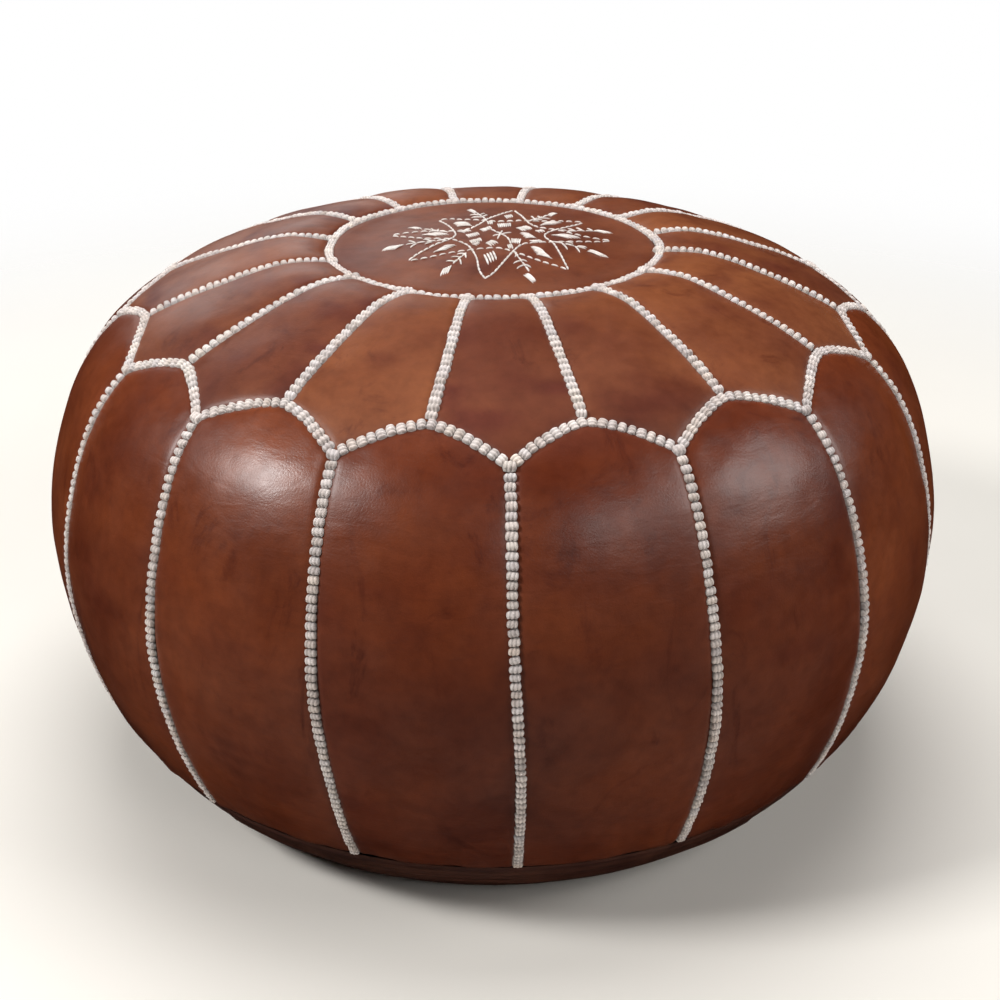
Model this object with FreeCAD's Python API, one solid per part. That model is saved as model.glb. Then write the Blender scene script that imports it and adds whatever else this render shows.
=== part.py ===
import FreeCAD, Part
import math
import os

os.makedirs("parts", exist_ok=True)
V = FreeCAD.Vector

# Round stitched-leather floor pouf, millimetres.
# Origin: middle of the base, on the plane it stands on.  +Z up, front is -Y.
# Azimuth phi is measured from the front (-Y) towards +X.

# ---------------------------------------------------------------- driving dimensions
N_PANELS = 16              # upper panels, and as many side panels
LEATHER = 1.4              # goat leather with its backing
GAP = 0.55                 # half the gap between two panel edges on a seam line
SEAM_DEPTH = 5.0           # how deep the panel edges are drawn in under the envelope
PUFF = 1.0                 # how far a panel's middle stands over the envelope
ROLL = 17.0                # width over which a panel edge rolls into its seam
BRAID_R = 2.6              # half width of the stitched braid over a seam
BRAID_DEPTH = 1.7          # braid centre line under the envelope
ZC = 167.7                 # height that the polar angle t is measured from
T_RIM = 55.5               # polar angle of the medallion seam
T_PEAK = 29.3              # polar angle of the arch tops
T_VALLEY = 24.1            # polar angle of the arch feet
T_BASE = -26.3             # polar angle of the base seam
DISH_R = 150.0             # flat raised middle of the base, where the zip lies
DISH_Z = 7.0
RING_IN, RING_OUT = 172.0, 198.0   # flat ring that the pouf stands on
ZIP_HALF = 147.0           # half length of the zip window
ZIP_TRAVEL = 248.0

# Envelope of the filled pouf: polar angle t, radius, height
ENVELOPE = [
    (90, 0.0, 314.6), (85, 12.8, 314.4), (80, 25.8, 314.0), (75, 39.0, 313.4), (70, 52.5, 312.2),
    (65, 66.1, 310.6), (60, 81.2, 309.6), (55.5, 97.7, 309.9), (52.5, 109.9, 310.9), (50, 120.1, 310.9),
    (45, 139.6, 307.3), (40, 159.0, 301.2), (35, 180.3, 294.0), (30, 202.1, 284.4), (25, 222.2, 271.4),
    (20, 238.8, 254.7), (15, 250.8, 234.9), (10, 259.3, 213.5), (5, 265.7, 191.0), (0, 269.7, 167.7),
    (-5, 270.5, 144.1), (-10, 268.4, 120.4), (-15, 264.2, 97.0), (-20, 257.6, 74.0), (-25, 248.4, 51.9),
    (-30, 236.1, 31.4), (-34, 223.9, 16.7), (-38, 210.0, 4.2),
]

# Azimuths of the seam junctions, in degrees.  The pouf is sewn by hand, so they wander.
RIM_PHI = [-71.2, -51.5, -28.5, -8.0, 12.0, 35.0, 60.0, 83.5, 104.5, 125.5, 147.5, 170.0, 194.5, 217.0, 239.2, 262.8]
PEAK_PHI = [-76.0, -52.2, -30.2, -8.6, 12.4, 34.2, 58.2, 78.6, 100.8, 123.4, 146.2, 168.6, 191.4, 214.0, 237.4, 260.8]
VALLEY_PHI = [-63.2, -42.0, -20.0, 2.0, 23.6, 45.6, 68.6, 89.6, 112.1, 134.8, 157.4, 180.0, 202.7, 225.7, 249.1, 272.2]
BASE_PHI = [-62.0, -39.0, -17.2, 3.0, 24.0, 46.5, 69.5, 91.0, 113.0, 135.5, 158.0, 180.5, 203.0, 226.0, 249.4, 273.4]


# ---------------------------------------------------------------- envelope helpers
def _hermite(xs, ys, x):
    """Cubic through a table whose xs fall."""
    n = len(xs)
    k = 0
    while k < n - 2 and x < xs[k + 1]:
        k += 1

    def slope(i):
        a, b = max(i - 1, 0), min(i + 1, n - 1)
        return (ys[b] - ys[a]) / (xs[b] - xs[a])

    h = xs[k + 1] - xs[k]
    s = (x - xs[k]) / h
    a, b = ys[k], ys[k + 1]
    ma, mb = slope(k) * h, slope(k + 1) * h
    return ((2 * s**3 - 3 * s**2 + 1) * a + (s**3 - 2 * s**2 + s) * ma
            + (-2 * s**3 + 3 * s**2) * b + (s**3 - s**2) * mb)


TS = [e[0] for e in ENVELOPE]
RS = [e[1] for e in ENVELOPE]
ZS = [e[2] for e in ENVELOPE]


def env(t):
    return _hermite(TS, RS, t), _hermite(TS, ZS, t)


def env_off(t, d):
    """Envelope point moved d along its outward normal."""
    if t > 89.9:
        return 0.0, env(90.0)[1] + d
    r0, z0 = env(min(t + 0.4, 90.0))
    r1, z1 = env(max(t - 0.4, -38.0))
    r, z = env(t)
    tr, tz = r1 - r0, z1 - z0
    L = math.hypot(tr, tz)
    return r - tz / L * d, z + tr / L * d


def place(t, phi, d):
    r, z = env_off(t, d)
    a = math.radians(phi)
    return V(r * math.sin(a), -r * math.cos(a), z)


def lerp(a, b, s):
    return a + (b - a) * s


def unwrap(table, i):
    return table[i % N_PANELS] + 360.0 * (i // N_PANELS)


def rise(x):
    """0 on a seam, 1 once the panel has rolled out of it."""
    s = min(max(x, 0.0) / ROLL, 1.0)
    return 1.0 - (1.0 - s) ** 2.2


def arch(w):
    """Height share of an arch, from its foot (0) to its top (1)."""
    return 0.5 * w + 0.5 * math.sin(w * math.pi / 2)


# ---------------------------------------------------------------- patches and solids
def pole_surface(grid):
    """Clamped uniform B-spline surface with the grid as its control net."""
    def knots(n, deg):
        inner = n - deg - 1
        ks = [float(i) for i in range(inner + 2)]
        return ks, [deg + 1] + [1] * inner + [deg + 1]
    nu, nv = len(grid), len(grid[0])
    du, dv = min(3, nu - 1), min(3, nv - 1)
    ku, mu = knots(nu, du)
    kv, mv = knots(nv, dv)
    s = Part.BSplineSurface()
    s.buildFromPolesMultsKnots(grid, mu, mv, ku, kv, False, False, du, dv)
    return s


def pole_curve(pts):
    n = len(pts)
    deg = min(3, n - 1)
    inner = n - deg - 1
    c = Part.BSplineCurve()
    c.buildFromPolesMultsKnots(pts, [deg + 1] + [1] * inner + [deg + 1],
                               [float(i) for i in range(inner + 2)], False, deg)
    return c


def patch_solid(patches):
    """One closed sheet solid from patches given as (outer grid, inner grid, sides that are free)."""
    faces = []
    for outer, inner, free in patches:
        faces.append(pole_surface(outer).toShape())
        faces.append(pole_surface(inner).toShape())
        sides = {
            "u0": (outer[0], inner[0]), "u1": (outer[-1], inner[-1]),
            "v0": ([row[0] for row in outer], [row[0] for row in inner]),
            "v1": ([row[-1] for row in outer], [row[-1] for row in inner]),
        }
        for name in free:
            a, b = sides[name]
            faces.append(pole_surface([a, b]).toShape())
    for order in (faces, faces[::-1], faces[1:] + faces[:1], faces[2:] + faces[:2]):
        shell = Part.makeShell(order)
        shell.sewShape()
        if shell.ShapeType != "Shell":
            shell = shell.Shells[0]
        solid = Part.makeSolid(shell)
        if solid.Volume < 0:
            solid.reverse()
        solid.fix(0.001, 0.001, 0.001)
        if solid.Solids and solid.isValid() and solid.Volume > 0:
            break
    return solid


def save(name, shape):
    solids = shape.Solids
    bad = [s for s in solids if not s.isValid() or s.Volume <= 0]
    print(name, len(solids), "solids", round(shape.Volume, 1), "mm3", "INVALID" if bad or not solids else "ok")
    shape.exportStep("parts/%s.step" % name)


def group(solids):
    return solids[0] if len(solids) == 1 else Part.makeCompound(solids)


def deg_of(mm, t):
    """An arc of mm along the azimuth at polar angle t, in degrees."""
    return math.degrees(mm / max(env(t)[0], 1.0))


# ---------------------------------------------------------------- upper panels
U_HALF = [0.0, 0.22, 0.44, 0.64, 0.8, 0.91, 0.97, 1.0]
V_UPPER = [0.0, 0.035, 0.09, 0.18, 0.32, 0.5, 0.68, 0.82, 0.91, 0.965, 1.0]
V_SIDE = [0.0, 0.015, 0.045, 0.09, 0.16, 0.27, 0.4, 0.53, 0.66, 0.78, 0.87, 0.93, 0.97, 0.99, 1.0]


def upper_t(w, v):
    """Polar angle at width share w (0 panel middle, 1 seam) and length share v (0 medallion, 1 arch)."""
    t_in = T_RIM - math.degrees(GAP / 187.0)
    t_out = T_VALLEY + (T_PEAK - T_VALLEY) * arch(w) + math.degrees(GAP * 1.25 / 245.0)
    return lerp(t_in, t_out, v)


def seam_phi_upper(i, v):
    return lerp(unwrap(RIM_PHI, i), unwrap(PEAK_PHI, i), v)


def upper_grids(i, side):
    outer, inner = [], []
    for w in U_HALF:
        ro, ri = [], []
        for v in V_UPPER:
            t = upper_t(w, v)
            mid = lerp((unwrap(RIM_PHI, i) + unwrap(RIM_PHI, i + 1)) / 2, unwrap(VALLEY_PHI, i), v)
            edge = seam_phi_upper(i if side < 0 else i + 1, v)
            edge += deg_of(GAP, t) * (1 if side < 0 else -1)
            phi = lerp(mid, edge, w)
            half = math.radians(abs(edge - mid)) * env(t)[0]
            x = half * (1 - w)
            y_in = 128.0 * v
            y_out = 128.0 * (1 - v)
            d = -SEAM_DEPTH + (SEAM_DEPTH + PUFF) * rise(x) * rise(y_in) * rise(y_out)
            ro.append(place(t, phi, d))
            ri.append(place(t, phi, d - LEATHER))
        outer.append(ro)
        inner.append(ri)
    return outer, inner


for i in range(N_PANELS):
    lo, li = upper_grids(i, -1)
    ro, ri = upper_grids(i, +1)
    save("upper_panel_%02d" % (i + 1),
         patch_solid([(lo, li, ("u1", "v0", "v1")), (ro, ri, ("u1", "v0", "v1"))]))


# ---------------------------------------------------------------- side panels
U_FULL = [-1.0, -0.97, -0.91, -0.8, -0.62, -0.4, -0.18, 0.0, 0.18, 0.4, 0.62, 0.8, 0.91, 0.97, 1.0]


def side_grids(i):
    outer, inner = [], []
    for u in U_FULL:
        ro, ri = [], []
        w = 1 - abs(u)
        for v in V_SIDE:
            t_top = T_VALLEY + (T_PEAK - T_VALLEY) * arch(w) - math.degrees(GAP * 1.25 / 245.0)
            t = lerp(t_top, T_BASE + math.degrees(GAP / 270.0), v)
            mid = lerp(unwrap(PEAK_PHI, i + 1), (unwrap(BASE_PHI, i) + unwrap(BASE_PHI, i + 1)) / 2, v)
            if u < 0:
                edge = lerp(unwrap(VALLEY_PHI, i), unwrap(BASE_PHI, i), v) + deg_of(GAP, t)
            else:
                edge = lerp(unwrap(VALLEY_PHI, i + 1), unwrap(BASE_PHI, i + 1), v) - deg_of(GAP, t)
            phi = lerp(mid, edge, abs(u))
            x = math.radians(abs(edge - mid)) * env(t)[0] * w
            y_in = 245.0 * v
            y_out = 245.0 * (1 - v)
            d = -SEAM_DEPTH + (SEAM_DEPTH + PUFF) * rise(x) * rise(y_in) * rise(y_out)
            ro.append(place(t, phi, d))
            ri.append(place(t, phi, d - LEATHER))
        outer.append(ro)
        inner.append(ri)
    return outer, inner


for i in range(N_PANELS):
    so, si = side_grids(i)
    save("side_panel_%02d" % (i + 1), patch_solid([(so, si, ("u0", "u1", "v0", "v1"))]))


# ---------------------------------------------------------------- turned pieces
def spline_edge(points):
    c = Part.BSplineCurve()
    c.interpolate([V(r, 0, z) for r, z in points])
    return c.toShape()


def line(a, b):
    return Part.makeLine(V(a[0], 0, a[1]), V(b[0], 0, b[1]))


def turn(edges, start=V(0, 0, 0), angle=360.0):
    face = Part.Face(Part.Wire(edges))
    s = face.revolve(start, V(0, 0, 1), angle)
    return s.Solids[0] if s.Solids else s


# Medallion: the round leather on the top, drawn down into its seam
r_edge = env(T_RIM)[0] - GAP


def medallion_profile(d):
    pts = []
    for t in (90, 84, 78, 72, 67, 63, 60, 58, 56.6):
        r, z = env(t)
        pts.append((r, z + 0.6 - (SEAM_DEPTH + 0.6) * (1 - rise(r_edge - r)) + d))
    pts.append((r_edge, env(T_RIM)[1] - SEAM_DEPTH + d))
    return pts


mo, mi = medallion_profile(0.0), medallion_profile(-LEATHER)
medallion = turn([spline_edge(mo), line(mo[-1], mi[-1]), spline_edge(mi[::-1]), line(mi[0], mo[0])])
save("medallion", medallion)

# Base: two half rounds of leather either side of the zip
base_top_t = T_BASE - math.degrees(GAP / 270.0)


def base_curve(d):
    """Outer or inner line of the base leather: rolled side, then the ring it stands on, then the raised middle."""
    pts = []
    for t in (base_top_t, -27.4, -29.0, -31.0, -33.0, -35.5):
        y = (base_top_t - t) * math.radians(1) * 272.0
        r, z = env_off(t, -SEAM_DEPTH + SEAM_DEPTH * rise(y) - d)
        pts.append((r, z))
    pts += [(209.5 - d * 0.5, 4.0 + d * 0.9), (204.0 - d * 0.2, 1.1 + d), (RING_OUT, d)]
    ramp = []
    for k in range(9):
        s = k / 8.0
        ramp.append((lerp(RING_IN, DISH_R, s), d + DISH_Z * (0.5 - 0.5 * math.cos(math.pi * s))))
    return pts, ramp


po, ramp_o = base_curve(0.0)
pi_, ramp_i = base_curve(LEATHER)
base_edges = [
    spline_edge(po), line((RING_OUT, 0), (RING_IN, 0)), spline_edge(ramp_o), line((DISH_R, DISH_Z), (0, DISH_Z)),
    line((0, DISH_Z), (0, DISH_Z + LEATHER)), line((0, DISH_Z + LEATHER), (DISH_R, DISH_Z + LEATHER)),
    spline_edge(ramp_i[::-1]), line((RING_IN, LEATHER), (RING_OUT, LEATHER)), spline_edge(pi_[::-1]),
    line(pi_[0], po[0]),
]
base = turn(base_edges)
base = base.cut(Part.makeBox(600, 2 * GAP, 120, V(-300, -GAP, -20)))
base = base.cut(Part.makeBox(2 * ZIP_HALF, 11, 60, V(-ZIP_HALF, -5.5, -20)))
halves = sorted(base.Solids, key=lambda s: s.CenterOfMass.y)
save("base_panel_front", halves[0])
save("base_panel_back", halves[-1])

# Welt: thin rolled leather piping in the base seam
r, z = env_off(T_BASE, -2.0)
save("base_welt", Part.makeTorus(r, 1.35, V(0, 0, z), V(0, 0, 1)))

# Stuffing: one firm mass that fills the cover
core_pts = [(0.0, 314.6 - 8.2)]
for t in (82, 74, 66, 60, 55.5, 50, 45, 40, 35, 30, 25, 20, 15, 10, 5, 0, -5, -10, -15, -20, -25, -30, -34):
    core_pts.append(env_off(t, -7.6))
core_pts += [(203.0, 11.4), (190.0, 9.2)]
core_bottom = [(190.0, 9.2), (172.0, 10.0), (160.0, 12.8), (148.0, 14.6)]
core = turn([spline_edge(core_pts), spline_edge(core_bottom), line((148.0, 14.6), (0, 14.6)),
             line((0, 14.6), core_pts[0])])
save("stuffing_core", core)


# ---------------------------------------------------------------- braids over the seams
ACROSS = [(-1.0, -1.0), (-1.0, 1.8), (0.0, 3.1), (1.0, 1.8), (1.0, -1.0)]     # crowned top of a braid
UNDER = [(-1.0, -1.7), (-0.5, -2.5), (0.0, -2.6), (0.5, -2.5), (1.0, -1.7)]    # its flat underside


def braid(path):
    """Braid along a path of (t, phi) on the envelope, in straight steps of the control net."""
    mids = [place(t, phi, -BRAID_DEPTH) for t, phi in path]
    outer, inner = [], []
    for k, (t, phi) in enumerate(path):
        ahead = mids[min(k + 1, len(mids) - 1)].sub(mids[max(k - 1, 0)])
        up = place(t, phi, 1.0).sub(place(t, phi, 0.0))
        side = ahead.cross(up)
        side.normalize()
        outer.append([mids[k].add(V(side).multiply(x * BRAID_R)).add(V(up).multiply(h)) for x, h in ACROSS])
        inner.append([mids[k].add(V(side).multiply(x * BRAID_R)).add(V(up).multiply(h)) for x, h in UNDER])
    return patch_solid([(outer, inner, ("u0", "u1", "v0", "v1"))])


r, z = env_off(T_RIM, -BRAID_DEPTH)
save("medallion_braid", Part.makeTorus(r, BRAID_R, V(0, 0, z), V(0, 0, 1)))

END = 7.2   # a braid stops this far from the middle of the one it runs into
upper = []
for i in range(N_PANELS):
    v0, v1 = END / 128.0, 1 - END / 110.0
    pts = []
    for k in range(9):
        v = lerp(v0, v1, k / 8.0)
        pts.append((lerp(T_RIM, T_PEAK, v), lerp(RIM_PHI[i], PEAK_PHI[i], v)))
    upper.append(braid(pts))
save("upper_seam_braids", group(upper))

arches = []
for i in range(N_PANELS):
    pts = []
    a, p, b = unwrap(VALLEY_PHI, i), unwrap(PEAK_PHI, i + 1), unwrap(VALLEY_PHI, i + 1)
    for k in range(15):
        u = lerp(-0.9, 0.9, k / 14.0)
        w = 1 - abs(u)
        phi = lerp(p, a if u < 0 else b, abs(u))
        pts.append((T_VALLEY + (T_PEAK - T_VALLEY) * arch(w), phi))
    arches.append(braid(pts))
save("arch_braids", group(arches))

sides = []
for i in range(N_PANELS):
    pts = []
    for k in range(13):
        v = lerp(END / 245.0, 1 - 5.0 / 245.0, k / 12.0)
        pts.append((lerp(T_VALLEY, T_BASE, v), lerp(VALLEY_PHI[i], BASE_PHI[i], v)))
    sides.append(braid(pts))
save("side_seam_braids", group(sides))

# ---------------------------------------------------------------- embroidery on the medallion
THREAD = 0.7      # how far the satin stitch stands over the leather
STAR_OUT, STAR_IN = 68.0, 31.0
EMB_TURN = -7.0   # the star is turned a little against the front
EMB_X, EMB_Y = 4.8, 0.6   # and it is sewn a little off the middle


def at(radius, phi):
    a = math.radians(phi)
    return V(EMB_X + radius * math.sin(a), EMB_Y - radius * math.cos(a), 290.0)


def prism(points):
    return Part.Face(Part.makePolygon(points + [points[0]])).extrude(V(0, 0, 40))


eo = medallion_profile(0.05 + THREAD)
ei = medallion_profile(0.05)
skin = turn([spline_edge(eo), line(eo[-1], ei[-1]), spline_edge(ei[::-1]), line(ei[0], eo[0])])


def bar(p, q, width):
    d = q.sub(p)
    d.z = 0
    d.normalize()
    n = V(-d.y, d.x, 0).multiply(width / 2)
    return prism([p.add(n), q.add(n), q.sub(n), p.sub(n)])


# eight-pointed star outline: one closed band
outer_pts, inner_pts = [], []
for k in range(16):
    rr = STAR_OUT if k % 2 == 0 else STAR_IN
    phi = EMB_TURN + k * 22.5
    outer_pts.append(at(rr + (2.6 if k % 2 == 0 else 1.3), phi))
    inner_pts.append(at(rr - (2.6 if k % 2 == 0 else 1.3), phi))
band = prism(outer_pts).cut(prism(inner_pts))
star = band.common(skin)
save("embroidered_star", group(star.Solids))

# eight satin-stitch lozenges between the star tips, and their stems
loz = []
for k in range(8):
    phi = EMB_TURN + 22.5 + k * 45.0
    c, w = 68.5, 4.4
    dphi = math.degrees(w / c)
    body = prism([at(c + 8.5, phi), at(c, phi + dphi), at(c - 8.5, phi), at(c, phi - dphi)])
    loz += body.common(skin).Solids
save("embroidered_lozenges", group(loz))

# ring of small filled diamonds inside the star
dia = []
for k in range(8):
    for c, w, h, turn_by in ((42.5, 5.0, 10.5, 0.0), (21.0, 3.6, 6.0, 22.5)):
        phi = EMB_TURN + turn_by + k * 45.0
        dphi = math.degrees(w / c)
        body = prism([at(c + h, phi), at(c, phi + dphi), at(c - h, phi), at(c, phi - dphi)])
        dia += body.common(skin).Solids
save("embroidered_diamonds", group(dia))

# ---------------------------------------------------------------- zip in the raised middle of the base
zl = DISH_Z + LEATHER                   # top of the base leather: the tapes are sewn on it
TAPE = 0.6
z_mid = zl + TAPE / 2
TAPE_HALF = 146.0
x_teeth0, x_teeth1 = -131.0, 129.5
for name, s in (("zip_tape_front", -1), ("zip_tape_back", 1)):
    y0 = 2.3 if s > 0 else -12.0
    save(name, Part.makeBox(2 * TAPE_HALF, 9.7, TAPE, V(-TAPE_HALF, y0, zl)))
for name, s in (("zip_teeth_front", -1), ("zip_teeth_back", 1)):
    y0 = 0.15 if s > 0 else -2.3
    save(name, Part.makeBox(x_teeth1 - x_teeth0, 2.15, 1.8, V(x_teeth0, y0, z_mid - 0.9)))

stops = [Part.makeBox(3.5, 4.2, 2.2, V(-136.0, -2.1, z_mid - 1.1)),
         Part.makeBox(2.5, 1.6, 2.2, V(137.5, 0.5, z_mid - 1.1)),
         Part.makeBox(2.5, 1.6, 2.2, V(137.5, -2.1, z_mid - 1.1))]
save("zip_end_stops", group(stops))

# slider: two plates with turned-in flanges, joined by a wedge post, and two lugs with a pin under it
XS = 121.0
SL = 14.0
low = Part.makeBox(SL, 9.2, 1.2, V(XS, -4.6, z_mid - 2.5))
top = Part.makeBox(SL, 9.2, 1.2, V(XS, -4.6, z_mid + 1.3))
slider = low.fuse(top)
for y in (-4.6, 3.6):
    slider = slider.fuse(Part.makeBox(SL, 1.0, 0.7, V(XS, y, z_mid - 1.4)))
    slider = slider.fuse(Part.makeBox(SL, 1.0, 0.7, V(XS, y, z_mid + 0.7)))
post = Part.Face(Part.makePolygon([V(XS + 10.0, 0, z_mid - 1.6), V(XS + 13.6, 1.7, z_mid - 1.6),
                                   V(XS + 13.6, -1.7, z_mid - 1.6), V(XS + 10.0, 0, z_mid - 1.6)]))
slider = slider.fuse(post.extrude(V(0, 0, 3.2)))
PIN_X, PIN_Z = XS + 7.0, z_mid - 3.9
for y in (-3.6, 2.6):
    slider = slider.fuse(Part.makeBox(2.6, 1.0, 2.8, V(PIN_X - 1.3, y, PIN_Z - 1.2)))
slider = slider.fuse(Part.makeCylinder(0.5, 7.2, V(PIN_X, -3.6, PIN_Z), V(0, 1, 0)))
slider = slider.removeSplitter()
save("zip_slider", slider)

# pull tab: a barrel on the pin, and a plate with a hole
tab = Part.makeCylinder(1.1, 4.6, V(PIN_X, -2.3, PIN_Z), V(0, 1, 0))
plate = Part.Face(Part.makePolygon([
    V(PIN_X, -2.0, PIN_Z - 0.5), V(PIN_X + 4, -2.0, PIN_Z - 0.5), V(PIN_X + 9, -3.4, PIN_Z - 0.5),
    V(PIN_X + 24, -3.4, PIN_Z - 0.5), V(PIN_X + 26, -1.8, PIN_Z - 0.5), V(PIN_X + 26, 1.8, PIN_Z - 0.5),
    V(PIN_X + 24, 3.4, PIN_Z - 0.5), V(PIN_X + 9, 3.4, PIN_Z - 0.5), V(PIN_X + 4, 2.0, PIN_Z - 0.5),
    V(PIN_X, 2.0, PIN_Z - 0.5), V(PIN_X, -2.0, PIN_Z - 0.5)])).extrude(V(0, 0, 1.0))
tab = tab.fuse(plate)
tab = tab.cut(Part.makeCylinder(0.7, 6.0, V(PIN_X, -3.0, PIN_Z), V(0, 1, 0)))
tab = tab.cut(Part.makeCylinder(1.6, 4.0, V(PIN_X + 20.5, 0, PIN_Z - 2), V(0, 0, 1)))
tab = tab.removeSplitter()
save("zip_pull_tab", tab)
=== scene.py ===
"""Round stitched-leather floor pouf: the looks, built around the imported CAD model. Metres, +Z up, front is -Y."""

import math

import bpy
import numpy as np
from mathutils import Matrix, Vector


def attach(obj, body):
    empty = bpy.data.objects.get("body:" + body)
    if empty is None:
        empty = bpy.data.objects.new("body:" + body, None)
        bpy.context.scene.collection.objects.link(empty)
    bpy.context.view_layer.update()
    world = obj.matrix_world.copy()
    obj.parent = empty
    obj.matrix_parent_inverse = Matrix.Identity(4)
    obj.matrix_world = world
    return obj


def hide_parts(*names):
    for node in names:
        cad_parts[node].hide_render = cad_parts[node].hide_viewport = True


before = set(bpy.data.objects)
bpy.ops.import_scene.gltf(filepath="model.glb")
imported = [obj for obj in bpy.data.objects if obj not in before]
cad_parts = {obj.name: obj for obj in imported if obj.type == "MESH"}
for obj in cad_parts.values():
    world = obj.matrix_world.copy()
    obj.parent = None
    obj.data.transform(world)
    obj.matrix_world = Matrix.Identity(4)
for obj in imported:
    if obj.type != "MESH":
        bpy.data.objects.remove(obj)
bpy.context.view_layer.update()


N = 16

# ------------------------------------------------------------------ the same envelope and seam net as the CAD (mm, degrees)
ENVELOPE = np.array([
    (90, 0.0, 314.6), (85, 12.8, 314.4), (80, 25.8, 314.0), (75, 39.0, 313.4), (70, 52.5, 312.2),
    (65, 66.1, 310.6), (60, 81.2, 309.6), (55.5, 97.7, 309.9), (52.5, 109.9, 310.9), (50, 120.1, 310.9),
    (45, 139.6, 307.3), (40, 159.0, 301.2), (35, 180.3, 294.0), (30, 202.1, 284.4), (25, 222.2, 271.4),
    (20, 238.8, 254.7), (15, 250.8, 234.9), (10, 259.3, 213.5), (5, 265.7, 191.0), (0, 269.7, 167.7),
    (-5, 270.5, 144.1), (-10, 268.4, 120.4), (-15, 264.2, 97.0), (-20, 257.6, 74.0), (-25, 248.4, 51.9),
    (-30, 236.1, 31.4), (-34, 223.9, 16.7), (-38, 210.0, 4.2)])
T_RIM, T_PEAK, T_VALLEY, T_BASE = 55.5, 29.3, 24.6, -26.3
DISH_R, DISH_Z, RING_IN, RING_OUT = 150.0, 7.0, 172.0, 198.0
ZIP_HALF = 147.0
RIM_PHI = [-71.2, -51.5, -28.5, -8.0, 12.0, 35.0, 60.0, 83.5, 104.5, 125.5, 147.5, 170.0, 194.5, 217.0, 239.2, 262.8]
PEAK_PHI = [-76.0, -52.2, -30.2, -8.6, 12.4, 34.2, 58.2, 78.6, 100.8, 123.4, 146.2, 168.6, 191.4, 214.0, 237.4, 260.8]
VALLEY_PHI = [-63.2, -42.0, -20.0, 2.0, 23.6, 45.6, 68.6, 89.6, 112.1, 134.8, 157.4, 180.0, 202.7, 225.7, 249.1, 272.2]
BASE_PHI = [-62.0, -39.0, -17.2, 3.0, 24.0, 46.5, 69.5, 91.0, 113.0, 135.5, 158.0, 180.5, 203.0, 226.0, 249.4, 273.4]


def wrap(table, i):
    return table[i % N] + 360.0 * (i // N)


def hermite_table():
    ts, out = np.arange(-38.0, 90.01, 0.25), []
    xs = ENVELOPE[::-1, 0]
    for col in (1, 2):
        ys = ENVELOPE[::-1, col]
        m = np.gradient(ys, xs)
        k = np.clip(np.searchsorted(xs, ts, side="right") - 1, 0, len(xs) - 2)
        h = xs[k + 1] - xs[k]
        s = (ts - xs[k]) / h
        out.append((2 * s**3 - 3 * s**2 + 1) * ys[k] + (s**3 - 2 * s**2 + s) * h * m[k]
                   + (-2 * s**3 + 3 * s**2) * ys[k + 1] + (s**3 - s**2) * h * m[k + 1])
    return ts, out[0], out[1]


TT, TR, TZ = hermite_table()
TR[-1] = 0.0
_dr, _dz = np.gradient(TR), np.gradient(TZ)
_l = np.hypot(_dr, _dz)
NR, NZ = _dz / -_l * -1.0, _dr / _l * -1.0          # outward normal of the profile (radius, height)
if NZ[-1] < 0:
    NR, NZ = -NR, -NZ
NR[-1], NZ[-1] = 0.0, 1.0


def env(t):
    return np.interp(t, TT, TR), np.interp(t, TT, TZ)


def nrm(t):
    return np.interp(t, TT, NR), np.interp(t, TT, NZ)


def place(t, phi, d):
    """Points (mm) at polar angle t and azimuth phi, d off the envelope."""
    r, z = env(t)
    nr, nz = nrm(t)
    a = np.radians(phi)
    rr = r + nr * d
    return np.stack([rr * np.sin(a), -rr * np.cos(a), z + nz * d], -1)


def normal_at(t, phi):
    nr, nz = nrm(t)
    a = np.radians(phi)
    n = np.stack([nr * np.sin(a), -nr * np.cos(a), nz + 0 * a], -1)
    return n / np.linalg.norm(n, axis=-1, keepdims=True)


def lerp(a, b, s):
    return a + (b - a) * s


def arch(w):
    rise = np.sin(np.clip(w, 0, 1) * np.pi / 2)
    return 0.3 * w + 0.35 * rise + 0.35 * rise**0.78


# ------------------------------------------------------------------ smooth seeded noise
def _hash(ix, iy, iz, seed):
    h = (ix.astype(np.int64) * 374761393 + iy.astype(np.int64) * 668265263 + iz.astype(np.int64) * 2147483647
         + seed * 1274126177) & 0xFFFFFFFF
    h = ((h ^ (h >> 13)) * 1103515245) & 0xFFFFFFFF
    h = ((h ^ (h >> 16)) * 2654435761) & 0xFFFFFFFF
    return ((h ^ (h >> 15)) & 0xFFFFFF) / float(0xFFFFFF) * 2.0 - 1.0


def noise(p, size, seed):
    """Value noise of points p (mm), cells of size mm, -1 to 1."""
    q = p / size + 137.3
    i = np.floor(q)
    f = q - i
    f = f * f * f * (f * (f * 6 - 15) + 10)
    i = i.astype(np.int64)
    out = 0.0
    for dx in (0, 1):
        for dy in (0, 1):
            for dz in (0, 1):
                w = (np.where(dx, f[..., 0], 1 - f[..., 0]) * np.where(dy, f[..., 1], 1 - f[..., 1])
                     * np.where(dz, f[..., 2], 1 - f[..., 2]))
                out = out + w * _hash(i[..., 0] + dx, i[..., 1] + dy, i[..., 2] + dz, seed)
    return out


def fbm(p, size, seed, octaves=3):
    out, amp, tot = 0.0, 1.0, 0.0
    for k in range(octaves):
        out = out + amp * noise(p, size / 2.03**k, seed + 17 * k)
        tot += amp
        amp *= 0.5
    return out / tot


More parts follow.
